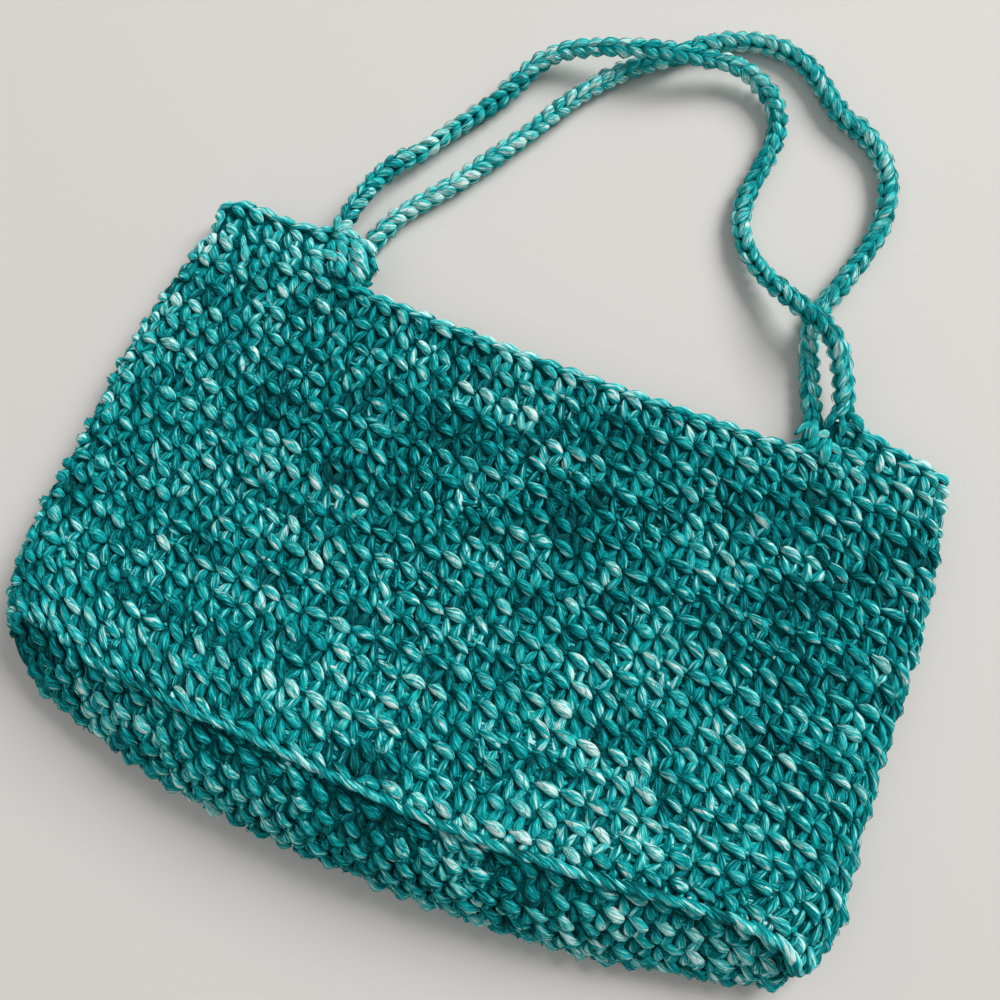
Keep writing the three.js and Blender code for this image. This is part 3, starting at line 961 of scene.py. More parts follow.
@dataclass(frozen=True)
class YarnFinish:
    """Space-dyed cotton-blend yarn, loosely spun.

    To the eye: matt, with fine bright fibres that run along each loop at a slight twist, and white where
    the dye missed it; darker teal is painted where a loop turns in, as painted shade, and paler aqua on
    its crests, as painted light.
    """

    name: str
    fibre: float = 0.54 * MM
    fibre_length: float = 3.4 * MM
    twist: float = 0.30
    streak: float = 0.58
    pale_fibres: float = 0.47
    relief: float = 0.35 * MM
    roughness: float = 0.8
    shine: float = 0.12
    dyes: tuple[tuple[float, str], ...] = (
        (0.00, "#00484b"), (0.18, "#006a6d"), (0.34, "#008e91"), (0.50, "#05adaf"),
        (0.64, "#2fc5c4"), (0.80, "#84dcd8"), (1.00, "#e2f6f1"),
    )

    def build(self) -> bpy.types.Material:
        """Makes the material, from the yarn's map and its tone and strand attributes."""
        material = new_material(self.name)
        tone = add_node(material, "ShaderNodeAttribute", {"attribute_name": "tone"})
        strand = add_node(material, "ShaderNodeAttribute", {"attribute_name": "strand"})
        place = add_node(material, "ShaderNodeUVMap", {"uv_map": "yarn"})
        split = add_node(material, "ShaderNodeSeparateXYZ", inputs={"Vector": place.outputs["UV"]})
        along, across = split.outputs["X"], split.outputs["Y"]
        lay = add_node(material, "ShaderNodeMath", {"operation": "MULTIPLY"},
                       {0: along, 1: self.twist})
        turned = add_node(material, "ShaderNodeMath", {"operation": "ADD"},
                          {0: across, 1: lay.outputs[0]})
        fibres = add_node(material, "ShaderNodeMath", {"operation": "DIVIDE"},
                          {0: turned.outputs[0], 1: self.fibre})
        lengths = add_node(material, "ShaderNodeMath", {"operation": "DIVIDE"},
                           {0: along, 1: self.fibre_length})
        # Each loop reads its own part of the noise, so that no two are alike.
        apart = add_node(material, "ShaderNodeMath", {"operation": "MULTIPLY"},
                         {0: strand.outputs["Fac"], 1: 97.0})
        where = add_node(material, "ShaderNodeCombineXYZ", inputs={
            "X": lengths.outputs[0], "Y": fibres.outputs[0], "Z": apart.outputs[0]})
        noise = add_node(material, "ShaderNodeTexNoise", inputs={
            "Vector": where.outputs[0], "Scale": 1.0, "Detail": 2.0, "Roughness": 0.6})
        streaks = add_node(material, "ShaderNodeMapRange", inputs={
            "Value": noise.outputs["Fac"], "From Min": 0.34, "From Max": 0.66,
            "To Min": -self.streak / 2, "To Max": self.streak / 2})
        pale = add_node(material, "ShaderNodeTexNoise", inputs={
            "Vector": where.outputs[0], "Scale": 0.45, "Detail": 2.0, "Distortion": 0.4})
        flecks = add_node(material, "ShaderNodeMapRange", inputs={
            "Value": pale.outputs["Fac"], "From Min": 0.51, "From Max": 0.66,
            "To Min": 0.0, "To Max": self.pale_fibres})
        # Painted shade: the tone is darkened where the lit attribute is low, on each loop's inner side
        # and its sunken ends, and lifted a little where it is high, on its outer crest.
        lit = add_node(material, "ShaderNodeAttribute", {"attribute_name": "lit"})
        painted_shade = add_node(material, "ShaderNodeMapRange", inputs={
            "Value": lit.outputs["Fac"], "From Min": 0.30, "From Max": 0.90,
            "To Min": -0.27, "To Max": 0.04})
        dyed = tone.outputs["Fac"]
        for part in (streaks, flecks, painted_shade):
            dyed = add_node(material, "ShaderNodeMath", {"operation": "ADD"},
                            {0: dyed, 1: part.outputs[0]}).outputs[0]
        ramp = dye_ramp(material, dyed, self.dyes)
        bump = add_node(material, "ShaderNodeBump", inputs={
            "Height": noise.outputs["Fac"], "Strength": 1.0, "Distance": self.relief})
        shader = add_node(material, "ShaderNodeBsdfPrincipled", inputs={
            "Base Color": ramp.outputs["Color"], "Normal": bump.outputs["Normal"],
            "Roughness": self.roughness, "Specular IOR Level": self.shine})
        finish_material(material, shader)
        return material


@dataclass(frozen=True)
class FibreFinish:
    """Single loose fibres of the yarn: each in one shade of its dye, matt and a little sheer."""

    name: str = "loose_yarn_fibres"
    sheer: float = 0.45

    def build(self) -> bpy.types.Material:
        """Makes the material, from the tone attribute."""
        material = new_material(self.name)
        tone = add_node(material, "ShaderNodeAttribute", {"attribute_name": "tone"})
        ramp = dye_ramp(material, tone.outputs["Fac"], YarnFinish.dyes)
        shader = add_node(material, "ShaderNodeBsdfPrincipled", inputs={
            "Base Color": ramp.outputs["Color"], "Roughness": 1.0, "Specular IOR Level": 0.0,
            "Alpha": 1 - self.sheer})
        finish_material(material, shader)
        return material


@dataclass(frozen=True)
class CoreFinish:
    """The loops deeper in the fabric, felted together: the real yarn that shows between the stitches,
    painted dark as painted shade, for those gaps lie in shadow.
    """

    name: str = "felted_yarn_core_painted_shade"
    # Both colours are darker than the yarn's own: painted shade.
    dark: str = "#005053"
    light: str = "#007c80"
    loop: float = 0.8 * MM
    relief: float = 0.8 * MM

    def build(self) -> bpy.types.Material:
        """Makes the material, from Object coordinates."""
        material = new_material(self.name)
        place = add_node(material, "ShaderNodeTexCoord")
        noise = add_node(material, "ShaderNodeTexNoise", inputs={
            "Vector": place.outputs["Object"], "Scale": 1 / self.loop, "Detail": 3.0})
        ramp = add_node(material, "ShaderNodeValToRGB", inputs={"Fac": noise.outputs["Fac"]})
        ramp.color_ramp.elements[0].color = linear(self.dark)
        ramp.color_ramp.elements[0].position = 0.35
        ramp.color_ramp.elements[1].color = linear(self.light)
        ramp.color_ramp.elements[1].position = 0.68
        bump = add_node(material, "ShaderNodeBump", inputs={
            "Height": noise.outputs["Fac"], "Strength": 1.0, "Distance": self.relief})
        shader = add_node(material, "ShaderNodeBsdfPrincipled", inputs={
            "Base Color": ramp.outputs["Color"], "Normal": bump.outputs["Normal"],
            "Roughness": 0.95, "Specular IOR Level": 0.05})
        finish_material(material, shader)
        return material


@dataclass(frozen=True)
class FloorFinish:
    """Pale matt paper for the floor."""

    colour: str = "#dedad5"

    def build(self) -> bpy.types.Material:
        """Makes the material."""
        material = new_material("matt_paper")
        shader = add_node(material, "ShaderNodeBsdfPrincipled", inputs={
            "Base Color": linear(self.colour), "Roughness": 0.85})
        finish_material(material, shader)
        return material


class Slot(Enum):
    """The record's material slots."""

    BODY = "yarn_body"
    EDGE = "yarn_edge"
    STRAP = "yarn_strap"


def dress(piece: bpy.types.Object, material: bpy.types.Material, slot: Slot,
          replaced: tuple[str, ...] = ()) -> None:
    """Gives a piece its finish and ties it to the frame.

    Args:
        piece: the new piece.
        material: its finish.
        slot: the record's slot for that finish; not used.
        replaced: the CAD nodes that it stands for.
    """
    piece.data.materials.clear()
    piece.data.materials.append(material)
    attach(piece, BODY)
    if replaced:
        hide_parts(*replaced)
    log.info("%s: %d faces", piece.name, len(piece.data.polygons))


@dataclass(frozen=True)
class Felt:
    """A sheet of the loops deeper in the fabric, which shows only in the gaps between stitches."""

    name: str
    columns: int
    rows: int
    thickness: float
    lowest: float = 0.2 * MM
    merge: float = 0.02 * MM

    def build(self, place: Callable[[np.ndarray, np.ndarray], np.ndarray],
              finish: bpy.types.Material, slot: Slot) -> bpy.types.Object:
        """Shapes the sheet from a grid, joins its edges where they meet and thickens it inwards.

        Args:
            place: gives the points at shares of the way across, left to right, and down.
            finish: its material.
            slot: the record's slot for it.

        Returns:
            The finished sheet.
        """
        bpy.ops.object.select_all(action="DESELECT")
        bpy.ops.mesh.primitive_grid_add(x_subdivisions=self.columns, y_subdivisions=self.rows,
                                        size=1.0)
        sheet = bpy.context.object
        sheet.name = self.name
        corner = np.array([vertex.co for vertex in sheet.data.vertices])
        points = place(corner[:, 0] + 0.5, 0.5 - corner[:, 1])
        points[:, 2] = np.maximum(points[:, 2], self.lowest)
        sheet.data.vertices.foreach_set("co", points.reshape(-1))
        sheet.data.update()
        bpy.ops.object.mode_set(mode="EDIT")
        bpy.ops.mesh.select_all(action="SELECT")
        bpy.ops.mesh.remove_doubles(threshold=self.merge)
        bpy.ops.object.mode_set(mode="OBJECT")
        solid = sheet.modifiers.new("thickness", "SOLIDIFY")
        solid.thickness = self.thickness
        solid.offset = -1.0
        bpy.ops.object.modifier_apply(modifier=solid.name)
        bpy.ops.object.shade_smooth()
        dress(sheet, finish, slot)
        return sheet


# Camera and straps

@dataclass(frozen=True)
class PhotoCamera:
    """Where the photograph was taken from, and which way its picture's right and up point."""

    place: tuple[float, float, float] = (0.0312, -0.0297, 0.2850)
    right: tuple[float, float, float] = (0.9355, 0.3518, -0.0344)
    up: tuple[float, float, float] = (-0.3366, 0.9163, 0.2171)
    lens_mm: float = 36.0
    sensor_mm: float = 36.0

    def build(self) -> None:
        """Makes the camera and makes it the scene's."""
        data = bpy.data.cameras.new("photo_camera")
        data.lens = self.lens_mm
        data.sensor_width = self.sensor_mm
        data.clip_start = 0.01
        camera = bpy.data.objects.new("photo_camera", data)
        bpy.context.scene.collection.objects.link(camera)
        right = Vector(self.right).normalized()
        back = right.cross(Vector(self.up)).normalized()
        up = back.cross(right)
        turn = Matrix((right, up, back)).transposed().to_4x4()
        camera.matrix_world = Matrix.Translation(self.place) @ turn
        bpy.context.scene.camera = camera


FRONT_ROUTE = (
    (-74.2, 84.3, 10.6), (-72.0, 100.2, 8.6), (-68.4, 112.2, 6.4), (-61.8, 121.6, 4.6),
    (-55.4, 132.2, 3.7), (-48.2, 143.0, 3.5), (-43.4, 151.8, 3.8), (-39.2, 160.6, 4.6),
    (-33.0, 167.4, 6.0), (-25.4, 170.4, 7.8), (-17.2, 172.2, 9.6), (-8.2, 173.6, 10.9),
    (0.8, 175.6, 10.9), (9.4, 177.8, 9.6), (17.4, 180.0, 7.8), (24.4, 180.4, 6.2),
    (31.2, 177.8, 4.8), (36.4, 173.2, 3.9), (39.6, 166.4, 3.5), (39.8, 157.2, 3.5),
    (38.2, 148.0, 3.5), (37.2, 138.8, 3.5), (38.8, 130.8, 3.5), (43.0, 123.6, 3.9),
    (49.2, 117.6, 5.2), (57.0, 112.4, 7.6), (63.4, 108.4, 9.8), (68.8, 105.8, 10.8),
    (73.6, 102.4, 10.9), (77.4, 98.0, 10.4), (80.0, 92.4, 10.0), (82.2, 86.6, 9.8),
    (83.4, 80.3, 9.8),
)
BACK_ROUTE = (
    (-66.8, 82.5, 3.5), (-60.8, 98.6, 3.5), (-54.6, 107.0, 3.5), (-47.6, 116.0, 3.5),
    (-42.0, 124.6, 3.5), (-37.0, 132.6, 3.5), (-31.6, 141.4, 3.5), (-26.8, 150.2, 3.5),
    (-21.2, 159.2, 3.5), (-15.0, 166.4, 3.5), (-8.8, 172.4, 3.5), (0.6, 179.4, 3.5),
    (8.2, 186.4, 3.5), (16.2, 190.6, 3.5), (24.0, 193.0, 3.5), (31.8, 193.4, 3.5),
    (39.4, 191.4, 3.5), (45.8, 187.2, 3.5), (51.6, 181.8, 3.5), (57.2, 176.6, 3.5),
    (63.2, 174.0, 3.5), (68.5, 170.7, 3.5), (72.8, 166.3, 3.5), (76.0, 160.6, 3.5),
    (77.9, 153.4, 3.5), (78.2, 144.8, 3.5), (77.0, 136.8, 3.5), (75.0, 129.0, 3.5),
    (72.8, 122.0, 3.5), (70.2, 115.4, 3.5), (68.6, 109.0, 3.5), (68.8, 103.2, 3.5),
    (70.4, 97.4, 3.5), (72.4, 91.2, 3.5), (75.0, 84.8, 3.5), (77.8, 77.5, 3.5),
)

# A slip-stitch cord: on each of its two faces, loops that meet in Vs along a seam.
CORD_STITCH = (
    ChainLobe(-0.80, 0.86, 0.66, 0.40, 3.2 * MM, 2.5 * MM, 1.5 * MM, 2.0 * MM, 1.4 * MM, 0.03),
    ChainLobe(-0.80, 0.86, -0.66, -0.40, 3.2 * MM, 2.5 * MM, 1.5 * MM, 2.0 * MM, 1.4 * MM, 0.0),
    ChainLobe(-0.70, 0.80, math.pi - 0.72, -0.34, 3.0 * MM, 2.4 * MM, 1.4 * MM, 1.9 * MM, 1.4 * MM),
    ChainLobe(-0.70, 0.80, math.pi + 0.72, 0.34, 3.0 * MM, 2.4 * MM, 1.4 * MM, 1.9 * MM, 1.4 * MM),
)


@dataclass
class Strap:
    """A crocheted cord from one side band to the other."""

    name: str
    route: tuple[tuple[float, float, float], ...]
    tone_start: float
    tone_end: float
    roll: float
    seed: int
    diameter: float = 6.6 * MM
    pitch: float = 4.5 * MM
    route_step: float = 1.5 * MM
    tone_wave: float = 0.07
    tone_waves: float = 31.0
    tone_spread: float = 0.05
    roll_waves: tuple[float, float] = (9.4, 23.0)

    def build(self, units: YarnLobes, finish: bpy.types.Material) -> bpy.types.Object:
        """Args:
            units: the lozenges of yarn that its loops are made from.
            finish: its material.

        Returns:
            The new piece.
        """
        random = np.random.default_rng(self.seed)
        route = np.array(self.route) * MM
        line = smooth_route(route, self.route_step)
        chain = ChainLine(line, np.array([0.0, 0.0, 1.0]), random)
        count = int(round(chain.length / self.pitch))
        share = (np.arange(count) + 0.5) / count
        tone = self.tone_start + (self.tone_end - self.tone_start) * share
        tone = tone + self.tone_wave * np.sin(share * self.tone_waves + self.seed)
        tone = tone + random.normal(0, self.tone_spread, count)
        slow, quick = self.roll_waves
        roll = self.roll * (np.sin(share * slow + self.seed) + 0.5 * np.sin(share * quick))
        mesh = YarnMesh(units)
        chain.lay(mesh, self.pitch, CORD_STITCH, tone, roll, fibres=3)
        strap = mesh.build(self.name + "_cord")
        dress(strap, finish, Slot.STRAP, (self.name,))
        chain.length
        log.info("%s: %.3f m long", self.name, chain.length)
        return strap


# The body

@dataclass
class Body:
    """The crocheted body: rounds of stitches on the front, the folds and the back, and the base."""

    shape: BagShape
    seed: int = 7
    rounds: int = 19
    around: int = 73
    brick: float = 0.47
    base_rows: float = 5.15
    base_wrap: float = 0.08
    # The base's rows are painted lighter as painted light, for the base faces away from the lamp, and its
    # first row, under the ridge, darker as painted shadow.
    base_painted_light: float = 0.02
    base_first_row_painted_shadow: float = -0.03
    base_tone_place: float = 0.96
    run_out: float = 0.1
    end_margin: float = 0.4
    last_reach: float = 0.9
    core_inset: float = 2.4 * MM
    core_thickness: float = 1.0 * MM
    core_base_share: float = 0.2
    core_top: float = 0.004
    core_low_front: float = 0.99
    core_low_back: float = 0.967
    table_rows: int = 96
    steps_per_stitch: int = 8
    fine_steps: int = 900
    strip_ends: tuple[float, float] = (0.012, 0.988)
    strip_measure: float = 0.4
    strip_steps: int = 481
    strip_rows: int = 61
    base_steps: int = 41
    wrap_steps: int = 14
    smoothings: int = 4

    def tube(self) -> Lattice:
        """The lattice of the whole tube; column 0 stands at the middle of the front."""
        down = np.linspace(0, 1, self.table_rows)[:, None]
        fine = np.linspace(0, 4, self.fine_steps + 1)[None, :]
        points = self.shape.points(down, np.minimum(fine, 4 - 1e-9))
        steps = np.linalg.norm(np.diff(points, axis=1), axis=-1)
        length = np.concatenate([np.zeros((self.table_rows, 1)), np.cumsum(steps, axis=1)], axis=1)
        left, right = self.shape.edges(down[:, 0])
        wide = self.around * self.steps_per_stitch
        along = np.empty((self.table_rows, wide))
        for row in range(self.table_rows):
            middle = np.interp(-left[row] / (right[row] - left[row]), fine[0], length[row])
            goal = (middle + np.arange(wide) / wide * length[row, -1]) % length[row, -1]
            along[row] = np.interp(goal, length[row], fine[0])
        pitch = float(length[self.table_rows // 2, -1]) / self.around
        return Lattice(self.shape.points(down, along), self.rounds, self.around, pitch, True)

    def strip(self, pitch: float) -> tuple[Lattice, np.ndarray, np.ndarray]:
        """The base's strip of surface, which runs on a little way round the back edge.

        Args:
            pitch: width of a stitch.

        Returns:
            Its lattice, of one row; the base's own width at each column; and the whole width.
        """
        steps = self.strip_steps
        across = np.linspace(*self.strip_ends, steps)
        measured = self.shape.base_points(across, np.full_like(across, self.strip_measure))
        length = np.concatenate([[0], np.cumsum(np.linalg.norm(np.diff(measured, axis=0), axis=1))])
        even = np.interp(np.linspace(0, length[-1], steps), length, across)
        base = self.shape.base_points(*np.meshgrid(even, np.linspace(0, 1, self.base_steps)))
        lower = self.shape.base_ends(even)[1]
        down = np.linspace(1, 1 - self.base_wrap, self.wrap_steps)[1:, None]
        points = np.concatenate([base, self.shape.points(down, lower[None])])
        for _ in range(self.smoothings):
            points[1:-1] = (points[:-2] + 2 * points[1:-1] + points[2:]) / 4
        gaps = np.linalg.norm(np.diff(points, axis=0), axis=-1)
        place = np.concatenate([np.zeros((1, steps)), np.cumsum(gaps, axis=0)])
        rows = np.linspace(0, 1, self.strip_rows)
        table = np.empty((self.strip_rows, steps, 3))
        for column in range(steps):
            for axis in range(3):
                table[:, column, axis] = np.interp(rows * place[-1, column], place[:, column],
                                                   points[:, column, axis])
        strip = Lattice(table, 1.0, length[-1] / pitch, pitch, False)
        return strip, place[self.base_steps - 1], place[-1]

    def build(self, units: YarnLobes, finish: bpy.types.Material,
              fibre_finish: bpy.types.Material, core: bpy.types.Material) -> list[bpy.types.Object]:
        """Models the body's pieces.

        Args:
            units: the lozenges of yarn that the stitches are made from.
            finish: the yarn's material.
            fibre_finish: the material of its loose fibres.
            core: the material of the loops deeper in the fabric.

        Returns:
            The new pieces.
        """
        random = np.random.default_rng(self.seed)
        tones = YarnTones(random)
        stitcher = Stitcher(random, tones, self.shape.half_width)
        tube = self.tube()
        row_height = self.shape.panel_height / self.rounds
        row, column = np.meshgrid(np.arange(self.rounds), np.arange(self.around), indexing="ij")
        place = (column + self.brick * row) % self.around
        quarter = self.around / 4
        is_front = (place < quarter) | (place >= 3 * quarter)
        is_last = row == self.rounds - 1
        pieces, loose = [], []
        for name, side in (("body_front", is_front), ("body_back", ~is_front)):
            mesh, ground, fibres = YarnMesh(units), YarnMesh(units), YarnMesh(units)
            fuzz = Fuzz(fibres, random)
            filled = side & (is_front | ~is_last)
            rows = row[filled] + 0.5
            stitcher.lay(ground, tube, rows, place[filled], rows / self.rounds,
                         (tube.pitch, row_height), row_height, GROUND)
            for chosen, lobes in ((side & ~is_last, STITCH), (side & is_front & is_last, EDGE_ROW)):
                if chosen.any():
                    rows = row[chosen] + 0.5
                    stitcher.lay(mesh, tube, rows, place[chosen], rows / self.rounds,
                                 (tube.pitch, row_height), row_height, lobes, fuzz)
            pieces += [mesh.build(name + "_stitches"), ground.build(name + "_ground")]
            loose.append(fibres.build(name + "_fibres"))
        base_pieces = self.base(units, stitcher, tube.pitch)
        pieces += base_pieces[:2]
        loose += base_pieces[2:]
        for piece in pieces:
            dress(piece, finish, Slot.BODY, ("bag_body",) if piece is pieces[0] else ())
        for piece in loose:
            dress(piece, fibre_finish, Slot.BODY)
        pieces += loose
        felt = Felt("body_fabric_core", columns=200, rows=74, thickness=self.core_thickness)
        pieces.append(felt.build(self.core_points, core, Slot.BODY))
        return pieces

    def base(self, units: YarnLobes, stitcher: Stitcher, pitch: float) -> list[bpy.types.Object]:
        """The rows of stitches on the base, which run out one by one at its ends.

        Args:
            units: the lozenges of yarn that the stitches are made from.
            stitcher: what lays them.
            pitch: width of a stitch.

        Returns:
            The stitches, the strands between them and their loose fibres.
        """
        strip, width, whole = self.strip(pitch)
        row_height = float(width.max()) / self.base_rows
        mesh, ground, fibres = YarnMesh(units), YarnMesh(units), YarnMesh(units)
        fuzz = Fuzz(fibres, stitcher.random)
        count = int(strip.columns)
        share = np.linspace(0, 1, len(width))
        for row in range(math.ceil(self.base_rows) + 1):
            columns = np.arange(count) + 0.5 + self.brick * row
            distance = (row + ROW_PLACE) * row_height
            room = np.interp(columns / strip.columns, share, width) - distance
            kept = (room > -self.run_out * row_height) & (columns < strip.columns - self.end_margin)
            columns, room = columns[kept], room[kept]
            if len(columns):
                local = np.interp(columns / strip.columns, share, whole)
                # Painted light lifts the base's rows, which face away from the lamp; painted shadow
                # darkens the first row, under the ridge.
                painted_shading = self.base_first_row_painted_shadow if row == 0 else self.base_painted_light
                down = np.full(len(columns), self.base_tone_place)
                stitcher.lay(ground, strip, distance / local, columns, down, (pitch, row_height),
                             local, GROUND, painted_shading=painted_shading)
                ends = room < self.last_reach * row_height
                for chosen, lobes in ((~ends, STITCH), (ends, EDGE_ROW)):
                    stitcher.lay(mesh, strip, distance / local[chosen], columns[chosen],
                                 down[chosen], (pitch, row_height), local[chosen], lobes, fuzz, painted_shading)
        return [mesh.build("base_stitches"), ground.build("base_ground"), fibres.build("base_fibres")]

    def core_points(self, across: np.ndarray, down: np.ndarray) -> np.ndarray:
        """Points of the felted inside, on the tube and round the base.

        Args:
            across: share of the way round, from the middle of the left fold over the front to the
                right fold and back under.
            down: share of the way from the mouth to the middle of the base.

        Returns:
            The points, one in each row.
        """
        fold = 0.5 * self.shape.fold_share
        half = np.where(across < 0.5, across * 2, 2 - across * 2)
        front = across < 0.5
        left = 0.5 * half / fold
        right = 0.5 * (half - 1 + fold) / fold
        flat = (half - fold) / (1 - 2 * fold)
        left = np.where(front, 3.5 + left, 3.5 - left)
        right = np.where(front, 1 + right, 2 - right)
        along = np.where(half > 1 - fold, right, np.where(front, flat, 3 - flat))
        along = np.where(half < fold, left, along) % 4
        down = down * (1 + self.core_base_share)
        lowest = np.where(front, self.core_low_front, self.core_low_back)
        tube = self.shape.points(np.clip(down, self.core_top, lowest), along, self.core_inset)
        under = np.clip((down - 1) / self.core_base_share, 0, 1) * 0.5
        under = np.where(front, under, 1 - under)
        base = self.shape.base_points(half, under, self.core_inset)
        return np.where((down > 1)[:, None], base, tube)


# Bands and edges

@dataclass(frozen=True)
class BandEdge:
    """Height of a band's top edge at a share of the way from its foot to the fold."""

    along: float
    height: float


LEFT_EDGE = (
    BandEdge(0.00, 1.04), BandEdge(0.08, 1.20), BandEdge(0.20, 1.24), BandEdge(0.33, 1.06),
    BandEdge(0.45, 0.94), BandEdge(0.75, 0.93), BandEdge(0.88, 0.80), BandEdge(1.00, 0.45),
)
RIGHT_EDGE = (
    BandEdge(0.00, 0.40), BandEdge(0.07, 0.60), BandEdge(0.13, 0.90), BandEdge(0.20, 1.00),
    BandEdge(0.35, 0.93), BandEdge(0.52, 0.70), BandEdge(0.75, 0.52), BandEdge(0.90, 0.38),
    BandEdge(1.00, 0.22),
)
# Where the bands end at the mouth.
LEFT_FOOT = -61.5 * MM
RIGHT_FOOT = 74.5 * MM
# Length of a stitch of an edge, and how far its line lies under the fabric's rim.
EDGE_PITCH = 6.75 * MM
EDGE_DROP = 1.9 * MM

# A stitch of an edge: a loop on its outer side, one along its top and one on its inner side.
EDGE_STITCH = (
    ChainLobe(-0.66, 0.70, 0.95, -0.24, 3.0 * MM, 2.4 * MM, 0.2 * MM, 1.1 * MM, 0.3 * MM, 0.06),
    ChainLobe(-0.70, 0.72, 0.05, -0.10, 2.8 * MM, 2.4 * MM, 0.0 * MM, 0.7 * MM, 0.1 * MM, 0.02),
    ChainLobe(-0.66, 0.70, -0.95, 0.20, 3.0 * MM, 2.4 * MM, 0.2 * MM, 1.0 * MM, 0.3 * MM, 0.0),
)
# The loops that hold the straps' ends, in millimetres from a point at each front foot's top.
LEFT_FAN = (
    Lobe((-9.9, 4.2), (1.6, -4.6), 3.2 * MM, 3.0 * MM, -1.6 * MM, 0.2 * MM, -0.9 * MM,
         bow=1.2 * MM, tone=0.03, plump=True),
    Lobe((-8.4, 1.6), (2.2, -6.4), 3.0 * MM, 3.0 * MM, -1.5 * MM, 0.1 * MM, -1.0 * MM,
         bow=0.9 * MM, tone=0.07, plump=True),
    Lobe((-7.4, -2.0), (1.6, -8.2), 2.8 * MM, 2.8 * MM, -1.5 * MM, -0.2 * MM, -1.2 * MM,
         bow=0.5 * MM, tone=0.01, plump=True),
    Lobe((-13.0, 3.6), (-7.2, -2.2), 3.2 * MM, 3.0 * MM, -1.5 * MM, -0.3 * MM, -1.3 * MM,
         bow=0.6 * MM, tone=0.06, plump=True),
    Lobe((-7.9, -3.8), (-5.0, -9.6), 2.8 * MM, 2.6 * MM, -1.4 * MM, -0.7 * MM, -1.8 * MM,
         tone=-0.06, plump=True),
    Lobe((-15.8, -1.0), (-8.3, -5.4), 3.0 * MM, 2.8 * MM, -1.5 * MM, -0.5 * MM, -1.3 * MM,
         bow=0.4 * MM, tone=0.07, plump=True),
    Lobe((-16.9, -4.7), (-11.2, -10.4), 2.9 * MM, 2.8 * MM, -1.5 * MM, -0.6 * MM, -1.5 * MM,
         bow=0.4 * MM, tone=0.05, plump=True),
)
RIGHT_FAN = (
    Lobe((2.2, 1.8), (-1.6, -7.2), 2.0 * MM, 2.2 * MM, -5.0 * MM, -1.6 * MM, -1.6 * MM,
         bow=-0.5 * MM, tone=0.04, plump=True),
    Lobe((3.2, 1.6), (0.8, -7.6), 1.8 * MM, 2.0 * MM, -5.0 * MM, -1.8 * MM, -1.8 * MM,
         bow=-0.3 * MM, tone=0.0, plump=True),
    Lobe((2.6, 1.4), (2.6, -7.0), 2.5 * MM, 2.5 * MM, -4.6 * MM, -0.6 * MM, -1.4 * MM,
         tone=0.14, plump=True),
    Lobe((6.2, 4.6), (5.6, -3.4), 3.0 * MM, 3.0 * MM, -1.6 * MM, -0.6 * MM, -1.6 * MM,
         tone=-0.08, plump=True),
    Lobe((7.6, 4.4), (10.8, -3.2), 2.9 * MM, 2.8 * MM, -1.0 * MM, -0.4 * MM, -1.4 * MM,
         bow=0.4 * MM, tone=-0.04, plump=True),
    Lobe((9.7, 5.0), (14.8, -0.4), 3.2 * MM, 3.0 * MM, -0.6 * MM, 0.3 * MM, -0.8 * MM,
         bow=0.5 * MM, tone=0.08, plump=True),
    Lobe((8.8, -4.1), (6.8, -12.8), 3.3 * MM, 3.0 * MM, -1.4 * MM, -0.2 * MM, -1.4 * MM,
         bow=-0.5 * MM, tone=0.14, plump=True),
    Lobe((14.7, -3.6), (18.6, -7.4), 3.0 * MM, 2.8 * MM, -1.4 * MM, -0.5 * MM, -1.4 * MM,
         bow=0.3 * MM, tone=0.14, plump=True),
    Lobe((4.6, -4.4), (2.6, -9.6), 2.6 * MM, 2.6 * MM, -1.6 * MM, -0.8 * MM, -1.6 * MM,
         tone=-0.04, plump=True),
)
# The bars that close the base along its back edge, each over the loop under it, which is painted darker
# as painted shade.
HEM_STITCH = (
    ChainLobe(-0.60, 0.62, -0.10, 0.36, 3.2 * MM, 2.8 * MM, -1.3 * MM, -0.1 * MM, -0.9 * MM, 0.04),
    ChainLobe(-0.30, 0.86, 0.85, -0.10, 3.0 * MM, 2.6 * MM, -1.0 * MM, -0.4 * MM, -1.0 * MM, -0.08),
)
# The ridge is a single line of loops that overlap like the strands of a rope.
RIDGE_STITCH = (
    ChainLobe(-0.84, 0.80, 0.25, 0.21, 2.8 * MM, 2.7 * MM, -0.8 * MM, 0.55 * MM, -0.3 * MM, 0.05),
    ChainLobe(-0.40, 1.10, -0.75, 0.21, 2.3 * MM, 2.3 * MM, -0.9 * MM, 0.15 * MM, -0.7 * MM, -0.06),
)
# How thick the ridge's yarn is at each share of its length, as a share of the loops' own sizes.
RIDGE_SIZES = ((0.0, 0.66), (0.6, 0.76), (0.85, 1.0), (1.0, 1.12))


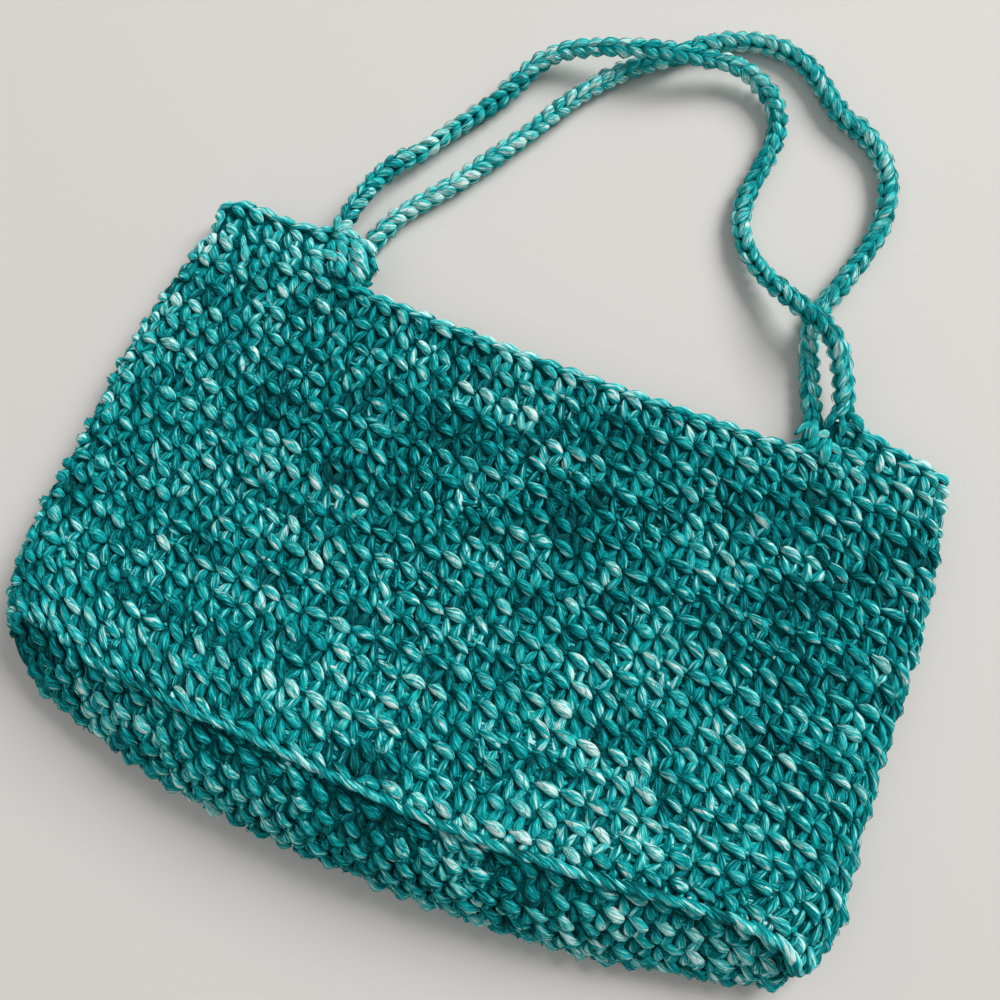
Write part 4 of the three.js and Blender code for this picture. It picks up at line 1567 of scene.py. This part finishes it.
@dataclass
class Band:
    """The extra rounds round one end of the mouth, between its front and its back strap foot."""

    node: str
    shape: BagShape
    foot: float
    height: float
    edge: tuple[BandEdge, ...]
    fan_lobes: tuple[Lobe, ...]
    fan_y: float
    edge_start: float
    seed: int
    rows: int = 3
    gap: float = 0.3 * MM
    row_height: float = 5.9 * MM
    margin: float = 0.60
    brick: float = 0.34
    tuck: float = 3.4 * MM
    tone_place: float = 0.02
    edge_tone: tuple[float, float] = (0.55, 0.07)
    core_inset: float = 2.0 * MM
    core_thickness: float = 0.8 * MM
    core_top: float = 0.08
    core_reach: float = 0.84
    steps: int = 240
    table_rows: int = 25
    fan_span: float = 80.0  # millimetres that the patch under the fan measures each way

    def section(self) -> tuple[np.ndarray, np.ndarray]:
        """The rim's line from the front foot round the fold to the back foot, and its shares."""
        zero = np.zeros(1)
        left, right = (float(value[0]) for value in self.shape.edges(zero))
        start = (self.foot - left) / (right - left)
        along = np.linspace(4 + start if self.foot < 0 else start, 3 - start, self.steps)
        fine = self.shape.points(np.zeros_like(along), along % 4)
        length = np.concatenate([[0], np.cumsum(np.linalg.norm(np.diff(fine, axis=0), axis=1))])
        even = np.interp(np.linspace(0, length[-1], self.steps), length, along)
        points = self.shape.points(np.zeros_like(even), even % 4)
        return points, np.linspace(0, 1, self.steps)

    def top(self, share: np.ndarray) -> np.ndarray:
        """Height of the top edge at shares of the way round the band."""
        from_foot = 1 - np.abs(1 - 2 * share)
        places = np.array([row.along for row in self.edge])
        heights = np.array([row.height for row in self.edge])
        return self.height * cubic_column(places, heights, from_foot)

    def build(self, units: YarnLobes, finish: bpy.types.Material,
              core: bpy.types.Material) -> list[bpy.types.Object]:
        """Models the band's rows, its edge, the loops that fan out from the straps, and its core.

        Args:
            units: the lozenges of yarn that the stitches are made from.
            finish: its material.
            core: the material of the loops deeper in the fabric.

        Returns:
            The new pieces.
        """
        random = np.random.default_rng(self.seed)
        rim, share = self.section()
        if self.foot < 0:
            rim = rim[::-1]
        top = self.top(share)
        fall = np.linspace(0, 1, self.table_rows)[:, None]
        points = np.repeat(rim[None], self.table_rows, axis=0)
        points[..., 1] += self.gap + top - fall * (top + self.tuck)
        length = float(np.linalg.norm(np.diff(rim, axis=0), axis=1).sum())
        pitch = length / round(length / EDGE_PITCH)
        lattice = Lattice(points, 1.0, length / pitch, pitch, False)
        stitcher = Stitcher(random, YarnTones(random), self.shape.half_width)
        mesh = YarnMesh(units)
        for row in range(self.rows):
            margin = self.margin - self.brick * (row % 2)
            columns = np.linspace(margin, lattice.columns - margin,
                                  int(round(lattice.columns - 2 * margin)) + 1)
            local = np.interp(columns / lattice.columns, share, top)
            from_top = (row + ROW_PLACE) * self.row_height
            kept = from_top < local + self.gap
            if kept.any():
                columns, local = columns[kept], local[kept] + self.tuck
                down = np.full(len(columns), self.tone_place)
                stitcher.lay(mesh, lattice, from_top / local, columns, down,
                             (pitch, self.row_height), local)
        self.fan(mesh, stitcher, float(rim[-1 if self.foot < 0 else 0, 2]))
        edge = points[0] - lattice.normals[0] * self.shape.wall * 0.5
        edge[:, 1] -= EDGE_DROP
        cut = int(round(self.edge_start * len(edge)))
        edge = edge[:len(edge) - cut] if self.foot < 0 else edge[cut:]
        chain = ChainLine(edge, np.array([0.0, 1.0, 0.0]), random)
        count = int(round(chain.length / pitch))
        chain.lay(mesh, pitch, EDGE_STITCH, random.normal(*self.edge_tone, count))
        piece = mesh.build(self.node + "_stitches")
        dress(piece, finish, Slot.EDGE, (self.node,))

        def inside(across: np.ndarray, down: np.ndarray) -> np.ndarray:
            """Points of the band's felted inside."""
            rows = self.core_top + self.core_reach * down
            return lattice.place(rows, across * lattice.columns, np.full(len(across), -self.core_inset))

        felt = Felt(self.node + "_core", columns=60, rows=8, thickness=self.core_thickness)
        return [piece, felt.build(inside, core, Slot.EDGE)]

    def fan(self, mesh: YarnMesh, stitcher: Stitcher, height: float) -> None:
        """The large loops that spread from the front strap's end over the band's front layer.

        Args:
            mesh: the mesh that gathers the band's yarn.
            stitcher: what lays the loops.
            height: height of the front layer there.
        """
        middle = self.fan_span / 2
        side = np.linspace(-middle, middle, 9) * MM
        x, y = np.meshgrid(self.foot + side, self.fan_y - side)
        points = np.stack([x, y, np.full_like(x, height)], axis=-1)
        patch = Lattice(points, 1.0, self.fan_span, MM, False)
        stitcher.lay(mesh, patch, np.array([0.5]), np.array([middle]), np.zeros(1), (MM, MM),
                     self.fan_span * MM, self.fan_lobes)


@dataclass
class Edges:
    """The chains along the mouth's two edges, the ridge along the base's front edge and its hem."""

    shape: BagShape
    mouth_overlap: float = 2.0 * MM
    mouth_steps: int = 90
    mouth_tone: tuple[float, float] = (0.46, 0.07)
    ridge_start: float = -87.5 * MM
    ridge_wrap: float = 0.15
    ridge_stand: float = 0.4 * MM
    ridge_drop: float = 0.5 * MM
    ridge_rise: float = 2.3 * MM
    ridge_rise_at: float = -28.0 * MM
    ridge_rise_reach: float = 38.0 * MM
    ridge_steps: int = 120
    ridge_wrap_steps: int = 8
    ridge_out: tuple[float, float, float] = (0.0, -0.35, 0.94)
    ridge_pitch: float = 6.4 * MM
    ridge_tone: tuple[float, float] = (0.36, 0.12)
    hem_inset: float = 1.2 * MM
    hem_ends: tuple[float, float] = (0.05, 0.97)
    hem_under: float = 0.97
    hem_steps: int = 160
    hem_out: tuple[float, float, float] = (0.0, -0.75, 0.66)
    hem_pitch: float = 6.6 * MM
    hem_tone: tuple[float, float] = (0.43, 0.10)
    seed: int = 31

    def mouth_line(self, front: bool) -> np.ndarray:
        """The line of one edge of the mouth, between the bands."""
        zero = np.zeros(self.mouth_steps)
        left, right = self.shape.edges(zero)
        x = np.linspace(LEFT_FOOT - self.mouth_overlap, RIGHT_FOOT + self.mouth_overlap,
                        self.mouth_steps)
        share = (x - left) / (right - left)
        line = self.shape.points(zero, share if front else 3 - share, self.shape.wall / 2)
        line[:, 1] -= EDGE_DROP
        return line

    def ridge_line(self) -> np.ndarray:
        """The line of the chain along the front edge of the base."""
        one = np.ones(1)
        left, right = (float(value[0]) for value in self.shape.edges(one))
        start = (self.ridge_start - left) / (right - left)
        flat = np.linspace(start, 1, self.ridge_steps)[:-1]
        wrap = np.linspace(1, 1 + self.ridge_wrap, self.ridge_wrap_steps)
        along = np.concatenate([flat, wrap])
        x = self.shape.points(np.ones_like(along), along)[:, 0]
        rise = self.ridge_rise * np.exp(-((x - self.ridge_rise_at) / self.ridge_rise_reach) ** 2)
        line = self.shape.points(1 - rise / self.shape.panel_height, along)
        angle = np.pi * np.clip(along - 1, 0, 1)
        line[:, 0] += self.ridge_stand * np.sin(angle)
        line[:, 1] -= self.ridge_drop
        line[:, 2] += self.ridge_stand * np.cos(angle)
        return line

    def hem_line(self) -> np.ndarray:
        """The line of bars along the back edge of the base."""
        across = np.linspace(*self.hem_ends, self.hem_steps)
        return self.shape.base_points(across, np.full_like(across, self.hem_under), self.hem_inset)

    def build(self, units: YarnLobes, finish: bpy.types.Material) -> list[bpy.types.Object]:
        """Models the chains.

        Args:
            units: the lozenges of yarn that the loops are made from.
            finish: their material.

        Returns:
            The new pieces.
        """
        random = np.random.default_rng(self.seed)
        mesh = YarnMesh(units)
        for front in (True, False):
            chain = ChainLine(self.mouth_line(front), np.array([0.0, 1.0, 0.0]), random)
            count = int(round(chain.length / EDGE_PITCH))
            chain.lay(mesh, EDGE_PITCH, EDGE_STITCH, random.normal(*self.mouth_tone, count))
        mouth = mesh.build("mouth_edge")
        dress(mouth, finish, Slot.EDGE)
        mesh = YarnMesh(units)
        chain = ChainLine(self.ridge_line(), np.array(self.ridge_out), random)
        count = int(round(chain.length / self.ridge_pitch))
        size = np.interp(np.arange(count) / count, *zip(*RIDGE_SIZES))
        tone = random.normal(*self.ridge_tone, count)
        chain.lay(mesh, self.ridge_pitch, RIDGE_STITCH, tone, size=size)
        ridge = mesh.build("base_ridge_chain")
        dress(ridge, finish, Slot.EDGE, ("base_ridge",))
        mesh = YarnMesh(units)
        chain = ChainLine(self.hem_line(), np.array(self.hem_out), random)
        count = int(round(chain.length / self.hem_pitch))
        tone = random.normal(*self.hem_tone, count)
        chain.lay(mesh, self.hem_pitch, HEM_STITCH, tone, fibres=2)
        hem = mesh.build("base_hem")
        dress(hem, finish, Slot.EDGE)
        return [mouth, ridge, hem]


# Setting

@dataclass(frozen=True)
class Studio:
    """A pale floor and soft light from the upper right of the picture."""

    floor_size: float = 4.0
    key_place: tuple[float, float, float] = (1.30, 2.07, 1.98)
    key_size: float = 1.7
    key_power: float = 96.0
    fill_place: tuple[float, float, float] = (-0.5, -0.3, 0.8)
    fill_size: float = 0.9
    fill_power: float = 1.2
    sky: float = 0.32
    sky_colour: str = "#f2f4f6"

    def build(self) -> None:
        """Makes the floor, the lights and the sky."""
        bpy.ops.object.select_all(action="DESELECT")
        bpy.ops.mesh.primitive_plane_add(size=self.floor_size)
        floor = bpy.context.object
        floor.name = "floor"
        floor.data.materials.append(FloorFinish().build())
        floor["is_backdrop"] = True
        self.lamp("key", self.key_place, self.key_size, self.key_power)
        self.lamp("fill", self.fill_place, self.fill_size, self.fill_power)
        world = bpy.data.worlds.new("studio")
        world.use_nodes = True
        background = world.node_tree.nodes["Background"]
        background.inputs["Color"].default_value = linear(self.sky_colour)
        background.inputs["Strength"].default_value = self.sky
        bpy.context.scene.world = world
        bpy.context.scene.view_settings.view_transform = "Standard"

    def lamp(self, name: str, place: tuple[float, float, float], size: float, power: float) -> None:
        """Adds a soft square lamp that faces the bag."""
        data = bpy.data.lights.new(name, "AREA")
        data.size = size
        data.energy = power
        lamp = bpy.data.objects.new(name, data)
        lamp.location = place
        lamp.rotation_euler = (-Vector(place)).to_track_quat("-Z", "Y").to_euler()
        bpy.context.scene.collection.objects.link(lamp)


def main() -> None:
    """Builds the camera, the straps, the body, the bands, the edges and the studio."""
    logging.basicConfig(level=logging.INFO, format="%(name)s %(message)s")
    PhotoCamera().build()
    units = YarnLobes.model()
    strap_yarn = YarnFinish("space_dyed_yarn_cord", streak=0.50, pale_fibres=0.34).build()
    body_yarn = YarnFinish("space_dyed_yarn_rows").build()
    edge_yarn = YarnFinish("space_dyed_yarn_edge").build()
    pieces = [
        Strap("strap_front", FRONT_ROUTE, tone_start=0.56, tone_end=0.50, roll=0.9,
              seed=3).build(units, strap_yarn),
        Strap("strap_back", BACK_ROUTE, tone_start=0.70, tone_end=0.50, roll=0.7,
              seed=5).build(units, strap_yarn),
    ]
    shape = BagShape()
    core = CoreFinish().build()
    pieces += Body(shape).build(units, body_yarn, FibreFinish().build(), core)
    pieces += Band("side_band_left", shape, LEFT_FOOT, 12.0 * MM, LEFT_EDGE, LEFT_FAN,
                   fan_y=79.5 * MM, edge_start=0.0, seed=11).build(units, edge_yarn, core)
    pieces += Band("side_band_right", shape, RIGHT_FOOT, 11.5 * MM, RIGHT_EDGE, RIGHT_FAN,
                   fan_y=77.0 * MM, edge_start=0.10, seed=13).build(units, edge_yarn, core)
    pieces += Edges(shape).build(units, edge_yarn)
    log.info("%d pieces", len(pieces))
    Studio().build()
    boxes = [[list(map(float, corner)) for corner in box] for box in (CAD_BOX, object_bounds())]


if __name__ == "__main__":
    main()
